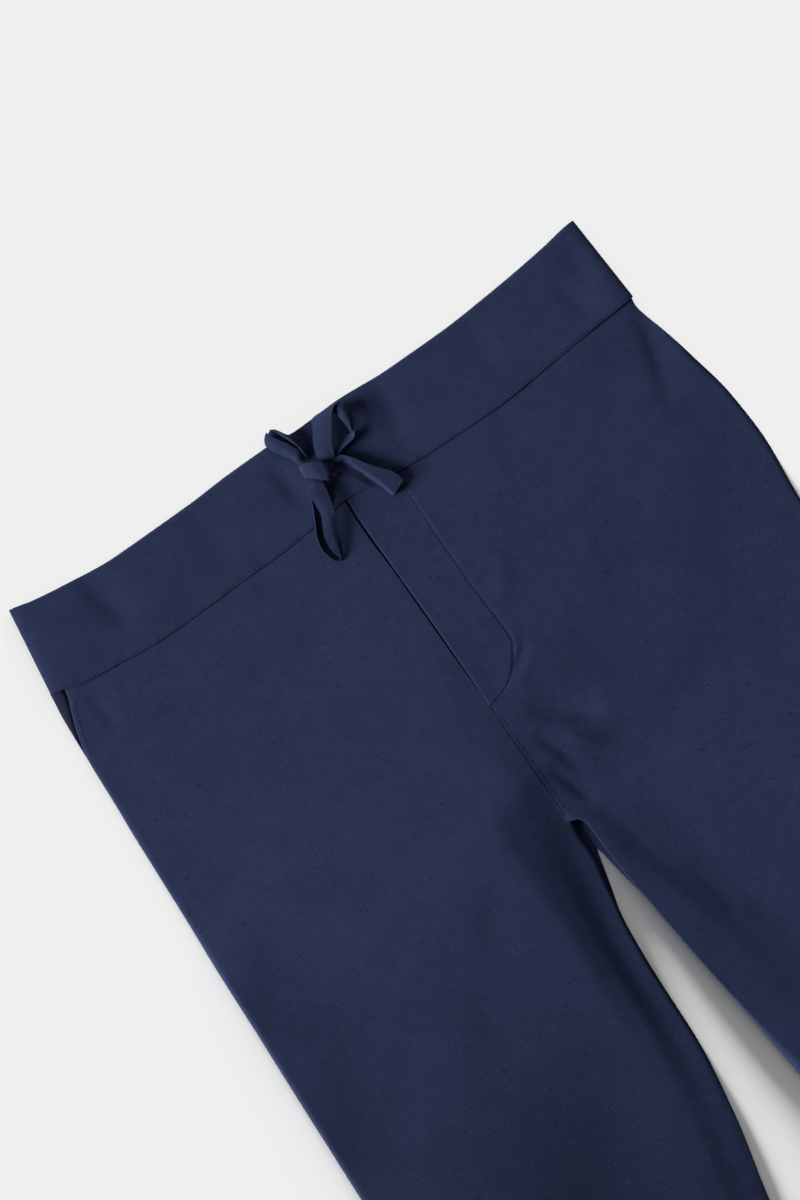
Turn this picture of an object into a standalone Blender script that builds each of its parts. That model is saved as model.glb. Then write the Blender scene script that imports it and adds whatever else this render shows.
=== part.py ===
"""Lounge trousers laid flat, face up: soft waistband, fly, side pockets and a tied drawstring.

Metres. X runs across the garment, +Y points to the waist, +Z is up out of the front.
Right and left are the wearer's, so the right leg lies at -X. "down" is the distance from
the waistband's corners towards the hems. The garment rests on its back, on z = 0.
"""
import math
from collections import namedtuple

import bmesh
import bpy
import numpy as np

LENGTH = 1.060  # waistband's corners to the hems
HALF_WAIST = 0.2199  # half the waist, flat
HALF_BAND_FOOT_RIGHT = 0.2284  # half the waistband's lower edge, wearer's right
HALF_BAND_FOOT_LEFT = 0.2240
SEAM_GAP = 0.0003  # between pieces that are sewn together, and on each side of the curved waist seam

BACK_WALL = 0.0014
BAND_WALL = 0.0020
FRONT_WALL = 0.0015
HEM_HEIGHT = 0.030  # turned-up hem, a little thicker than the leg
HEM_RAISE = 0.0006
HEM_STEP = 0.003  # the length of leg over which the hem's height is reached
MOST_HOLLOW = 0.0038  # highest the front lies off the back
LEAST_WALL = 0.0010  # thinnest the front gets in a fold
FRONT_CROWN = 0.0058  # top of the front away from its edges
BAND_CROWN = 0.0066
BAND_HEIGHT = 0.060
BAND_LIP, LIP_SHARE = 0.0048, 0.28  # the waistband's rounded upper edge, and how far it comes down
BAND_BEHIND = 0.0008  # how much lower the waistband's back is cut
EDGE_ROLL = 0.013  # how far in from an edge the front reaches its crown
LEGS_APART, LEGS_FADE = 0.300, 0.030  # from here down the inner legs round off too
BACKS_APART, BACKS_FADE = 0.330, 0.026  # the backs meet a little lower than the fronts
FOLD_FADE = 0.7  # how evenly a fold's height lasts along it
FLY_RAISE = 0.0005
FLY_GAPE = 0.0012  # half the widest gap down the fly's opening
FLY_GAPE_FROM, FLY_GAPE_TO = 0.070, 0.150
UNDERLAP_RIGHT, UNDERLAP_LEFT = 0.0140, 0.0084  # how far it reaches to each side of the seam
UNDERLAP_FOOT, UNDERLAP_WALL = 0.215, 0.0011
POCKET_FROM, POCKET_TO = 0.060, 0.116  # the pocket mouth, along the side
MOUTH_LIFT = 0.0014
MOUTH_TOP_FADE, MOUTH_FOOT_FADE = 0.004, 0.009
SIDE_PIECE_WALL = 0.0011
SIDE_PIECE_ROWS = (0.066, 0.073, 0.082, 0.092, 0.101)
SIDE_PIECE_UNDER = 0.004  # how far the right one reaches under the front
LEFT_SIDE_PIECE = 0.009  # the width of the left one, all of it under the front

TAPE_WALL = 0.0016
END_WALL = 0.0024  # both layers of the folded tape at its free ends
KNOT_FOOT, KNOT_TOP, KNOT_BEVEL = 0.0071, 0.0150, 0.0024
KNOT_SEGMENTS, KNOT_PROFILE = 3, 0.6

EDGE_STEPS = (0.0, 0.0014, 0.0045, 0.0095)  # columns close to a panel's edges
FRONT_COLUMNS, BACK_COLUMNS, FLY_COLUMNS, BAND_COLUMNS = 11, 10, 4, 29
UNDERLAP_COLUMNS, RIGHT_PIECE_COLUMNS, LEFT_PIECE_COLUMNS = 2, 3, 2
CLOSE_ROW, FAR_ROW = 0.0135, 0.036  # rows of the mesh over the body, and down the legs
CLOSE_TO = 0.460
ABOVE_HEM, IN_HEM = 0.0005, 0.0035  # rows on both sides of the hem's edge
BAND_ROWS = (0.0, 0.025, 0.08, 0.3, 0.53, 0.77, 1.0)  # down the waistband, as shares
FLY_ROW_APART = 0.004  # regular rows stay this far from those of the fly's curve
BELOW_FLY = 0.0012  # a row just below the fly's foot
SHARP_ANGLE = math.radians(40)

NAVY = (0.022, 0.030, 0.072, 1.0)
NAVY_SHADE = (0.014, 0.019, 0.046, 1.0)
ROUGHNESS = 0.9

# The garment's outline, from the waist seam to the hems: side, inner leg, inner leg, side.
Outline = namedtuple("Outline", "down right_side right_inner left_inner left_side")
OUTLINE = (
    Outline(0.0600, -0.2284, -0.0018, -0.0015, 0.2240),
    Outline(0.0710, -0.2296, -0.0024, -0.0021, 0.2222),
    Outline(0.0800, -0.2308, -0.0028, -0.0025, 0.2240),
    Outline(0.0920, -0.2318, -0.0029, -0.0026, 0.2276),
    Outline(0.1150, -0.2333, -0.0023, -0.0020, 0.2336),
    Outline(0.1490, -0.2351, -0.0018, -0.0015, 0.2405),
    Outline(0.1830, -0.2371, -0.0015, -0.0012, 0.2425),
    Outline(0.2280, -0.2393, -0.0011, -0.0008, 0.2391),
    Outline(0.2880, -0.2423, -0.0011, -0.0008, 0.2375),
    Outline(0.3120, -0.2431, -0.0010, -0.0007, 0.2380),
    Outline(0.3200, -0.2434, -0.0004, 0.0080, 0.2385),
    Outline(0.3420, -0.2444, -0.0004, 0.0084, 0.2398),
    Outline(0.3630, -0.2454, -0.0036, 0.0098, 0.2412),
    Outline(0.3970, -0.2467, -0.0088, 0.0133, 0.2434),
    Outline(0.4350, -0.2483, -0.0112, 0.0174, 0.2456),
    Outline(0.4750, -0.2499, -0.0124, 0.0225, 0.2478),
    Outline(0.5310, -0.2519, -0.0200, 0.0287, 0.2506),
    Outline(0.5880, -0.2537, -0.0327, 0.0362, 0.2531),
    Outline(0.6600, -0.2556, -0.0455, 0.0462, 0.2553),
    Outline(0.7500, -0.2571, -0.0548, 0.0548, 0.2570),
    Outline(0.8600, -0.2579, -0.0610, 0.0610, 0.2579),
    Outline(1.0600, -0.2582, -0.0655, 0.0655, 0.2582),
)

# The waistband's upper edge and the seam below it.
Waist = namedtuple("Waist", "across top seam")
WAIST = (
    Waist(-0.2290, 0.0000, 0.0600),
    Waist(-0.2192, 0.0006, 0.0622),
    Waist(-0.2038, 0.0040, 0.0663),
    Waist(-0.1827, 0.0071, 0.0685),
    Waist(-0.1442, 0.0109, 0.0719),
    Waist(-0.0865, 0.0103, 0.0705),
    Waist(-0.0545, 0.0087, 0.0698),
    Waist(-0.0224, 0.0083, 0.0673),
    Waist(-0.0020, 0.0102, 0.0651),
    Waist(0.0288, 0.0091, 0.0683),
    Waist(0.0673, 0.0112, 0.0709),
    Waist(0.1058, 0.0109, 0.0714),
    Waist(0.1570, 0.0075, 0.0680),
    Waist(0.1926, 0.0036, 0.0647),
    Waist(0.2199, 0.0000, 0.0626),
    Waist(0.2290, 0.0000, 0.0618),
)
SEAM_LEVEL = 0.066  # the row of a panel's mesh that follows the seam
SEAM_FADE = 0.090  # how far down the rows go on bending with it

# The fly's outer edge, where its J of stitching runs.
FlyEdge = namedtuple("FlyEdge", "down across")
FLY_EDGE = (
    FlyEdge(0.0600, 0.0333),
    FlyEdge(0.1100, 0.0333),
    FlyEdge(0.1550, 0.0335),
    FlyEdge(0.1850, 0.0350),
    FlyEdge(0.1974, 0.0353),
    FlyEdge(0.2083, 0.0295),
    FlyEdge(0.2179, 0.0212),
    FlyEdge(0.2237, 0.0106),
    FlyEdge(0.2262, -0.0009),
)
FLY_FOOT = FLY_EDGE[-1].down
FLY_CURVE_FROM = 0.190

# The mouth of the wearer's right pocket: the side piece shows between it and the side.
PocketMouth = namedtuple("PocketMouth", "down across")
POCKET_MOUTH = (
    PocketMouth(0.0600, -0.2180),
    PocketMouth(0.0720, -0.2205),
    PocketMouth(0.0810, -0.2240),
    PocketMouth(0.0950, -0.2288),
    PocketMouth(0.1080, -0.2320),
    PocketMouth(0.1160, -0.2333),
)

# Troughs (height below 0) and ridges of the front. A fold runs from one end to the other,
# bowed sideways at its middle, and dies away at both ends.
Fold = namedtuple("Fold", "across_1 down_1 across_2 down_2 bow half_width height")
FOLDS = (
    Fold(-0.048, 0.200, -0.070, 0.660, 0.000, 0.030, 0.0026),  # the right leg stands full beside
    Fold(-0.006, 0.270, -0.036, 0.620, 0.004, 0.014, -0.0016),  # its sunken inner edge
    Fold(0.008, 0.300, 0.040, 0.620, 0.006, 0.018, 0.0020),  # raised inner edge, left
    Fold(0.050, 0.280, 0.078, 0.540, 0.004, 0.022, -0.0014),
    Fold(-0.185, 0.380, -0.195, 0.640, 0.000, 0.045, 0.0022),  # the right thigh's fullness
    Fold(0.017, 0.243, 0.047, 0.271, -0.002, 0.006, -0.0012),  # fan of creases, left
    Fold(0.010, 0.255, 0.023, 0.303, 0.002, 0.006, -0.0012),
    Fold(0.032, 0.262, 0.068, 0.300, -0.002, 0.008, -0.0006),
    Fold(0.049, 0.152, 0.034, 0.184, 0.000, 0.006, 0.0010),  # pucker beside the fly
    Fold(0.223, 0.064, 0.198, 0.130, 0.004, 0.008, -0.0016),  # below the left pocket mouth
    Fold(0.206, 0.066, 0.176, 0.160, 0.004, 0.014, 0.0009),
    Fold(0.140, 0.140, 0.228, 0.230, 0.006, 0.020, 0.0008),
    Fold(-0.243, 0.308, -0.180, 0.255, 0.003, 0.013, -0.0018),  # dents of the right thigh
    Fold(-0.248, 0.345, -0.165, 0.300, 0.004, 0.016, 0.0011),
    Fold(-0.247, 0.400, -0.196, 0.370, 0.003, 0.010, -0.0014),
    Fold(-0.235, 0.438, -0.150, 0.410, 0.004, 0.018, 0.0012),
    Fold(-0.062, 0.318, -0.098, 0.365, 0.003, 0.011, -0.0010),
    Fold(-0.096, 0.352, -0.160, 0.452, 0.003, 0.014, -0.0018),
    Fold(-0.072, 0.398, -0.150, 0.500, 0.006, 0.022, -0.0016),
    Fold(-0.200, 0.520, -0.075, 0.600, 0.010, 0.018, 0.0012),
    Fold(-0.235, 0.600, -0.130, 0.690, 0.008, 0.016, -0.0015),
    Fold(-0.090, 0.640, -0.190, 0.760, 0.008, 0.018, 0.0012),
    Fold(-0.075, 0.760, -0.210, 0.840, 0.010, 0.018, -0.0013),
    Fold(-0.150, 0.860, -0.160, 1.050, 0.006, 0.020, -0.0010),
    Fold(0.215, 0.330, 0.110, 0.400, 0.008, 0.020, -0.0013),
    Fold(0.230, 0.420, 0.100, 0.500, -0.006, 0.020, 0.0012),
    Fold(0.075, 0.500, 0.180, 0.610, 0.010, 0.018, -0.0016),
    Fold(0.225, 0.640, 0.110, 0.720, 0.010, 0.018, 0.0012),
    Fold(0.085, 0.730, 0.215, 0.850, -0.008, 0.018, -0.0014),
    Fold(0.165, 0.870, 0.150, 1.050, 0.006, 0.020, -0.0010),
)
BAND_FOLDS = (
    Fold(-0.173, 0.008, -0.158, 0.058, -0.003, 0.009, -0.0013),
    Fold(-0.140, 0.010, -0.128, 0.062, 0.003, 0.016, 0.0006),
    Fold(0.182, 0.022, 0.199, 0.066, 0.003, 0.009, -0.0011),
    Fold(-0.036, 0.014, -0.030, 0.064, 0.002, 0.011, -0.0009),
    Fold(0.050, 0.012, 0.044, 0.062, 0.002, 0.011, -0.0008),
    Fold(0.100, 0.014, 0.108, 0.066, 0.002, 0.014, 0.0005),
)

# The drawstring's tape: both of its edges at each station, away from the knot and back.
Tape = namedtuple("Tape", "across_1 down_1 z_1 across_2 down_2 z_2")
LOOP_UPPER = (
    Tape(-0.0018, 0.0302, 0.0102, 0.0069, 0.0362, 0.0106),
    Tape(0.0051, 0.0202, 0.0118, 0.0147, 0.0268, 0.0134),
    Tape(0.0120, 0.0106, 0.0118, 0.0212, 0.0171, 0.0152),
    Tape(0.0190, 0.0074, 0.0108, 0.0250, 0.0128, 0.0166),
    Tape(0.0265, 0.0078, 0.0092, 0.0283, 0.0123, 0.0176),
    Tape(0.0330, 0.0112, 0.0082, 0.0306, 0.0136, 0.0176),
    Tape(0.0356, 0.0172, 0.0080, 0.0306, 0.0176, 0.0170),
    Tape(0.0336, 0.0240, 0.0080, 0.0280, 0.0226, 0.0160),
    Tape(0.0280, 0.0310, 0.0080, 0.0246, 0.0282, 0.0150),
    Tape(0.0200, 0.0358, 0.0080, 0.0186, 0.0330, 0.0142),
    Tape(0.0118, 0.0380, 0.0082, 0.0118, 0.0356, 0.0132),
    Tape(0.0055, 0.0392, 0.0084, 0.0062, 0.0378, 0.0120),
)
LOOP_LOWER = (
    Tape(-0.0150, 0.0400, 0.0100, -0.0046, 0.0506, 0.0108),
    Tape(-0.0194, 0.0529, 0.0122, -0.0091, 0.0570, 0.0136),
    Tape(-0.0212, 0.0635, 0.0132, -0.0109, 0.0675, 0.0140),
    Tape(-0.0250, 0.0759, 0.0132, -0.0149, 0.0774, 0.0140),
    Tape(-0.0282, 0.0865, 0.0126, -0.0197, 0.0887, 0.0132),
    Tape(-0.0296, 0.0930, 0.0118, -0.0232, 0.0946, 0.0122),
    Tape(-0.0306, 0.0952, 0.0100, -0.0246, 0.0966, 0.0104),
    Tape(-0.0312, 0.0934, 0.0084, -0.0250, 0.0948, 0.0082),
    Tape(-0.0319, 0.0851, 0.0080, -0.0224, 0.0880, 0.0080),
    Tape(-0.0277, 0.0705, 0.0080, -0.0170, 0.0740, 0.0080),
    Tape(-0.0224, 0.0580, 0.0080, -0.0120, 0.0620, 0.0080),
    Tape(-0.0190, 0.0480, 0.0080, -0.0086, 0.0530, 0.0080),
)
END_UPPER = (
    Tape(-0.0146, 0.0290, 0.0086, -0.0050, 0.0318, 0.0092),
    Tape(-0.0140, 0.0230, 0.0086, -0.0030, 0.0225, 0.0094),
    Tape(-0.0173, 0.0174, 0.0086, -0.0065, 0.0131, 0.0098),
    Tape(-0.0210, 0.0118, 0.0086, -0.0094, 0.0090, 0.0100),
    Tape(-0.0243, 0.0072, 0.0086, -0.0124, 0.0052, 0.0102),
)
END_LOWER = (
    Tape(0.0016, 0.0494, 0.0086, 0.0062, 0.0424, 0.0094),
    Tape(0.0091, 0.0540, 0.0086, 0.0160, 0.0450, 0.0110),
    Tape(0.0142, 0.0634, 0.0086, 0.0232, 0.0540, 0.0112),
    Tape(0.0183, 0.0702, 0.0086, 0.0282, 0.0612, 0.0104),
    Tape(0.0232, 0.0768, 0.0086, 0.0328, 0.0674, 0.0096),
    Tape(0.0276, 0.0814, 0.0086, 0.0357, 0.0753, 0.0090),
)
# The knot's wrap, as its four corners seen from above.
KNOT_CORNERS = ((-0.0134, 0.0312), (0.0022, 0.0372), (-0.0022, 0.0500), (-0.0150, 0.0384))


def smooth_curve(places, values):
    """A function that passes smoothly through the values at the places, with no overshoot."""
    places = np.array(places)
    values = np.array(values)
    rises = np.diff(values) / np.diff(places)
    before, after = rises[:-1], rises[1:]
    same_way = before * after > 0
    mean = np.zeros(len(before))
    mean[same_way] = (2 * before * after)[same_way] / (before + after)[same_way]
    slopes = np.concatenate([rises[:1], mean, rises[-1:]])

    def value_at(place):
        place = min(max(place, places[0]), places[-1])
        i = min(max(int(np.searchsorted(places, place)) - 1, 0), len(places) - 2)
        step = places[i + 1] - places[i]
        t = (place - places[i]) / step
        rise = (2 * t - 3) * t * t
        return float(
            (1 + rise) * values[i]
            - rise * values[i + 1]
            + step * t * (t - 1) ** 2 * slopes[i]
            + step * t * t * (t - 1) * slopes[i + 1]
        )

    return value_at


def column(rows, key, name):
    return smooth_curve([getattr(row, key) for row in rows], [getattr(row, name) for row in rows])


right_side_at = column(OUTLINE, "down", "right_side")
right_inner_at = column(OUTLINE, "down", "right_inner")
left_inner_at = column(OUTLINE, "down", "left_inner")
left_side_at = column(OUTLINE, "down", "left_side")
waist_top_at = column(WAIST, "across", "top")
waist_seam_at = column(WAIST, "across", "seam")
pocket_mouth_at = column(POCKET_MOUTH, "down", "across")


def fly_edge_at(down):
    return float(np.interp(down, [row.down for row in FLY_EDGE], [row.across for row in FLY_EDGE]))


def smooth_step(value):
    value = min(max(value, 0.0), 1.0)
    return value * value * (3 - 2 * value)


def bump(place, start, end):
    """0 outside the stretch, rising smoothly to 1 at its middle."""
    if not start < place < end:
        return 0.0
    return math.sin(math.pi * (place - start) / (end - start)) ** 2


def rolled(distance, reach=EDGE_ROLL):
    """A rounded edge: 0 at the edge and 1 from its reach inwards."""
    left = 1 - min(max(distance / reach, 0.0), 1.0)
    return math.sqrt(1 - left * left)


def fold_height(folds, across, down):
    total = 0.0
    for fold in folds:
        run_across = fold.across_2 - fold.across_1
        run_down = fold.down_2 - fold.down_1
        length = math.hypot(run_across, run_down)
        to_across = across - fold.across_1
        to_down = down - fold.down_1
        along = (to_across * run_across + to_down * run_down) / length**2
        if not 0 < along < 1:
            continue
        aside = (to_across * run_down - to_down * run_across) / length
        aside -= 4 * fold.bow * along * (1 - along)
        fade = math.sin(math.pi * along) ** FOLD_FADE
        total += fold.height * fade * math.exp(-((aside / fold.half_width) ** 2))
    return total


def side_distance(across, down):
    """How far in from the nearest free edge of its leg a point of the front lies."""
    to_side = min(across - right_side_at(down), left_side_at(down) - across)
    if across < (right_inner_at(down) + left_inner_at(down)) / 2:
        to_inner = right_inner_at(down) - across
    else:
        to_inner = across - left_inner_at(down)
    crotch = smooth_step((down - LEGS_APART) / LEGS_FADE)
    return min(to_side, to_inner * crotch + EDGE_ROLL * (1 - crotch))


def mouth_share(down):
    """1 along the pocket mouth, fading at both of its ends."""
    below_top = smooth_step((down - POCKET_FROM) / MOUTH_TOP_FADE)
    return below_top * smooth_step((POCKET_TO - down) / MOUTH_FOOT_FADE)


def front_levels(across, down):
    """The outer and the inner height of the front at a point."""
    roll = rolled(side_distance(across, down))
    edge = BACK_WALL + SEAM_GAP + FRONT_WALL
    outer = edge + (FRONT_CROWN - edge) * roll
    outer += fold_height(FOLDS, across, down) * roll
    outer += MOUTH_LIFT * mouth_share(down) * (1 - roll)
    outer += HEM_RAISE * smooth_step((down - (LENGTH - HEM_HEIGHT)) / HEM_STEP)
    lowest = BACK_WALL + SEAM_GAP
    inner = min(max(outer - FRONT_WALL, lowest), BACK_WALL + MOST_HOLLOW)
    return max(outer, inner + LEAST_WALL), inner


def place(across, down, z):
    return (across, LENGTH / 2 - down, z)


def grid_body(name, outer, inner):
    """One closed wall between two grids of points, the first facing up and the second down."""
    rows, columns = len(outer), len(outer[0])
    shape = bmesh.new()
    top = [[shape.verts.new(point) for point in row] for row in outer]
    foot = [[shape.verts.new(point) for point in row] for row in inner]
    for r in range(rows - 1):
        for c in range(columns - 1):
            shape.faces.new((top[r][c], top[r + 1][c], top[r + 1][c + 1], top[r][c + 1]))
            shape.faces.new((foot[r][c], foot[r][c + 1], foot[r + 1][c + 1], foot[r + 1][c]))
    rim = [(0, c) for c in range(columns)]
    rim += [(r, columns - 1) for r in range(1, rows)]
    rim += [(rows - 1, c) for c in range(columns - 2, -1, -1)]
    rim += [(r, 0) for r in range(rows - 2, 0, -1)]
    for (r1, c1), (r2, c2) in zip(rim, rim[1:] + rim[:1]):
        shape.faces.new((top[r1][c1], top[r2][c2], foot[r2][c2], foot[r1][c1]))
    return body_of(name, shape)


def body_of(name, shape):
    bmesh.ops.recalc_face_normals(shape, faces=shape.faces[:])
    mesh = bpy.data.meshes.new(name)
    shape.to_mesh(mesh)
    shape.free()
    mesh.shade_smooth()
    mesh.set_sharp_from_angle(angle=SHARP_ANGLE)
    body = bpy.data.objects.new(name, mesh)
    bpy.context.scene.collection.objects.link(body)
    return body


def row_places(start, end):
    """Places of a panel's rows: close over the body, wider down the legs, close at the hem."""
    close_end = min(end, CLOSE_TO)
    steps = max(round((close_end - start) / CLOSE_ROW), 1)
    places = [start + (close_end - start) * i / steps for i in range(steps + 1)]
    if end > CLOSE_TO:
        steps = round((end - CLOSE_TO) / FAR_ROW)
        places += [CLOSE_TO + (end - CLOSE_TO) * i / steps for i in range(1, steps + 1)]
        places.insert(-1, end - HEM_HEIGHT + IN_HEM)
        places.insert(-2, end - HEM_HEIGHT - ABOVE_HEM)
    return places


def shares(width, columns, soft_edges):
    """Places across a row, from 0 to 1, closer together near the edges that round off."""
    first = [step / width for step in EDGE_STEPS] if soft_edges[0] else [0.0]
    last = [1 - step / width for step in reversed(EDGE_STEPS)] if soft_edges[1] else [1.0]
    span = last[0] - first[-1]
    middle = [first[-1] + span * i / columns for i in range(1, columns)]
    return first + middle + last


def below_seam(across, down):
    """A row near the waist seam bends with it."""
    fade = 1 - smooth_step((down - SEAM_LEVEL) / SEAM_FADE)
    return down + (waist_seam_at(across) + SEAM_GAP - SEAM_LEVEL) * fade


def panel_rows(places, edges_at, columns, soft_edges):
    """A grid of (across, down) points between two edges, given as functions of down."""
    grid = []
    for down in places:
        start, end = edges_at(down)
        grid.append(
            [
                (start + (end - start) * share, below_seam(start + (end - start) * share, down))
                for share in shares(abs(end - start), columns, soft_edges)
            ]
        )
    return grid


def wall_of(name, grid, levels):
    outer, inner = [], []
    for row in grid:
        heights = [levels(across, down) for across, down in row]
        outer.append([place(*point, height[0]) for point, height in zip(row, heights)])
        inner.append([place(*point, height[1]) for point, height in zip(row, heights)])
    return grid_body(name, outer, inner)


def fly_gape(down):
    return FLY_GAPE * bump(down, FLY_GAPE_FROM, FLY_GAPE_TO)


def front_right_edges(down):
    side = right_side_at(down)
    if down < POCKET_TO:
        side = max(side, pocket_mouth_at(down))
    return side, right_inner_at(down) - fly_gape(down)


def front_left_edges(down):
    inner = left_inner_at(down)
    if down < FLY_FOOT:
        inner = max(inner, fly_edge_at(down) + SEAM_GAP)
    return inner, left_side_at(down)


def left_row_places():
    """Rows of the left front, with those of the fly's curved foot among them."""
    curve = [row.down for row in FLY_EDGE if row.down > FLY_CURVE_FROM]
    regular = row_places(SEAM_LEVEL, LENGTH)
    apart = [
        down for down in regular if min(abs(down - other) for other in curve) > FLY_ROW_APART
    ]
    return sorted(apart + curve + [FLY_FOOT + BELOW_FLY])


def make_fronts():
    right_rows = row_places(SEAM_LEVEL, LENGTH)
    right = panel_rows(right_rows, front_right_edges, FRONT_COLUMNS, (True, True))
    left = panel_rows(left_row_places(), front_left_edges, FRONT_COLUMNS, (True, True))
    return [
        wall_of("front_right", right, front_levels),
        wall_of("front_left", left, front_levels),
    ]


def make_fly():
    """The J-shaped lap, a little proud of the front, and the strip that shows behind it."""
    places = [down for down in left_row_places() if down < FLY_FOOT]
    places.append(FLY_FOOT - 2 * SEAM_GAP)

    def lap_edges(down):
        return left_inner_at(down) + fly_gape(down), fly_edge_at(down + SEAM_GAP)

    def lap_levels(across, down):
        outer, inner = front_levels(across, down)
        return outer + FLY_RAISE, inner

    def underlap_edges(down):
        return -UNDERLAP_RIGHT, UNDERLAP_LEFT

    def underlap_levels(across, down):
        foot = BACK_WALL + SEAM_GAP
        return foot + UNDERLAP_WALL, foot

    lap = panel_rows(places, lap_edges, FLY_COLUMNS, (False, False))
    under_places = row_places(SEAM_LEVEL, UNDERLAP_FOOT)
    under = panel_rows(under_places, underlap_edges, UNDERLAP_COLUMNS, (False, False))
    return [
        wall_of("fly_front", lap, lap_levels),
        wall_of("fly_underlap", under, underlap_levels),
    ]


def make_backs():
    """Flat on the ground, and sewn together a little further down than the fronts."""
    places = row_places(SEAM_LEVEL, LENGTH)

    def right_edges(down):
        return right_side_at(down), right_inner_at(down)

    def left_edges(down):
        inner = left_inner_at(down)
        joined = 1 - smooth_step((down - BACKS_APART) / BACKS_FADE)
        inner += (right_inner_at(down) + SEAM_GAP - inner) * joined
        return inner, left_side_at(down)

    def levels(across, down):
        return BACK_WALL, 0.0

    bodies = []
    for name, edges in (("back_right", right_edges), ("back_left", left_edges)):
        grid = panel_rows(places, edges, BACK_COLUMNS, (False, False))
        bodies.append(wall_of(name, grid, levels))
    return bodies


def make_pocket_sides():
    """The side piece in each pocket mouth, under the front's edge."""

    def right_edges(down):
        return right_side_at(down) + SEAM_GAP, pocket_mouth_at(down) + SIDE_PIECE_UNDER

    def left_edges(down):
        return left_side_at(down) - LEFT_SIDE_PIECE, left_side_at(down) - SEAM_GAP

    def levels(across, down):
        foot = BACK_WALL + SEAM_GAP
        return foot + SIDE_PIECE_WALL, foot

    hard = (False, False)
    right = panel_rows(SIDE_PIECE_ROWS, right_edges, RIGHT_PIECE_COLUMNS, hard)
    left = panel_rows(SIDE_PIECE_ROWS[:-1], left_edges, LEFT_PIECE_COLUMNS, hard)
    return [
        wall_of("pocket_side_right", right, levels),
        wall_of("pocket_side_left", left, levels),
    ]


def band_points(share, slope):
    """A point of the waistband: share from -1 to 1 across it, slope from 0 at the top to 1."""
    half_foot = HALF_BAND_FOOT_RIGHT if share < 0 else HALF_BAND_FOOT_LEFT
    top_across, foot_across = HALF_WAIST * share, half_foot * share
    top, foot = waist_top_at(top_across), waist_seam_at(foot_across) - SEAM_GAP
    return top_across + (foot_across - top_across) * slope, top + (foot - top) * slope


def make_waistbands():
    half = BAND_COLUMNS // 2
    close = [1 - step / HALF_WAIST for step in EDGE_STEPS]
    inside = [close[-1] * i / (half - 3) for i in range(1, half - 3)]
    side = sorted(inside + close)
    across_shares = [-share for share in reversed(side)] + [0.0] + side
    front_outer, front_inner, back_outer, back_inner = [], [], [], []
    edge = BAND_WALL + SEAM_GAP
    for slope in BAND_ROWS:
        grids = ([], [], [], [])
        for share in across_shares:
            across, down = band_points(share, slope)
            to_side = (1 - abs(share)) * HALF_WAIST
            roll = rolled(to_side)
            lip = 1 - LIP_SHARE * (1 - rolled(slope * BAND_HEIGHT, BAND_LIP))
            crown = BAND_CROWN + fold_height(BAND_FOLDS, across, down)
            outer = edge + BAND_WALL + (crown - edge - BAND_WALL) * roll * lip
            inner = max(min(outer - BAND_WALL, BAND_WALL + MOST_HOLLOW), edge)
            grids[0].append(place(across, down, outer))
            grids[1].append(place(across, down, inner))
            behind = down + BAND_BEHIND * (1 - slope)
            grids[2].append(place(across, behind, BAND_WALL))
            grids[3].append(place(across, behind, 0.0))
        for rows, row in zip((front_outer, front_inner, back_outer, back_inner), grids):
            rows.append(row)
    return [
        grid_body("waistband_front", front_outer, front_inner),
        grid_body("waistband_back", back_outer, back_inner),
    ]


def tape_body(name, stations, wall):
    """A flat tape through its stations, each given by the tape's two edges."""
    edges = [
        (
            np.array(place(row.across_1, row.down_1, row.z_1)),
            np.array(place(row.across_2, row.down_2, row.z_2)),
        )
        for row in stations
    ]
    middles = [(first + second) / 2 for first, second in edges]
    outer, inner = [], []
    for i, (first, second) in enumerate(edges):
        along = middles[min(i + 1, len(edges) - 1)] - middles[max(i - 1, 0)]
        normal = np.cross(second - first, along)
        normal *= wall / 2 / np.linalg.norm(normal)
        middle = (first + second) / 2
        outer.append([tuple(p + normal) for p in (first, middle, second)])
        inner.append([tuple(p - normal) for p in (first, middle, second)])
    return grid_body(name, outer, inner)


def make_knot():
    """The wrap of the knot: a small cushion with rounded edges."""
    shape = bmesh.new()
    foot = [shape.verts.new(place(*corner, KNOT_FOOT)) for corner in KNOT_CORNERS]
    face = shape.faces.new(foot)
    raised = bmesh.ops.extrude_face_region(shape, geom=[face])["geom"]
    for point in raised:
        if isinstance(point, bmesh.types.BMVert):
            point.co.z = KNOT_TOP
    bmesh.ops.bevel(
        shape,
        geom=shape.edges[:],
        offset=KNOT_BEVEL,
        segments=KNOT_SEGMENTS,
        profile=KNOT_PROFILE,
        affect="EDGES",
    )
    return body_of("drawstring_knot", shape)


def make_drawstring():
    return [
        make_knot(),
        tape_body("drawstring_loop_upper", LOOP_UPPER, TAPE_WALL),
        tape_body("drawstring_loop_lower", LOOP_LOWER, TAPE_WALL),
        tape_body("drawstring_end_upper", END_UPPER, END_WALL),
        tape_body("drawstring_end_lower", END_LOWER, END_WALL),
    ]


def cloth_material(name, color):
    material = bpy.data.materials.new(name)
    material.use_nodes = True
    shader = material.node_tree.nodes["Principled BSDF"]
    shader.inputs["Base Color"].default_value = color
    shader.inputs["Roughness"].default_value = ROUGHNESS
    shader.inputs["Metallic"].default_value = 0.0
    return material


def main():
    for thing in list(bpy.data.objects):
        bpy.data.objects.remove(thing, do_unlink=True)
    outer_pieces = make_waistbands() + make_fronts() + make_backs() + make_drawstring()
    shaded_pieces = make_fly() + make_pocket_sides()
    for pieces, name, color in (
        (outer_pieces, "navy_cloth", NAVY),
        (shaded_pieces, "navy_cloth_inside", NAVY_SHADE),
    ):
        for piece in pieces:
            material = cloth_material(name + "_" + piece.name, color)
            piece.data.materials.append(material)


main()
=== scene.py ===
import math

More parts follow.
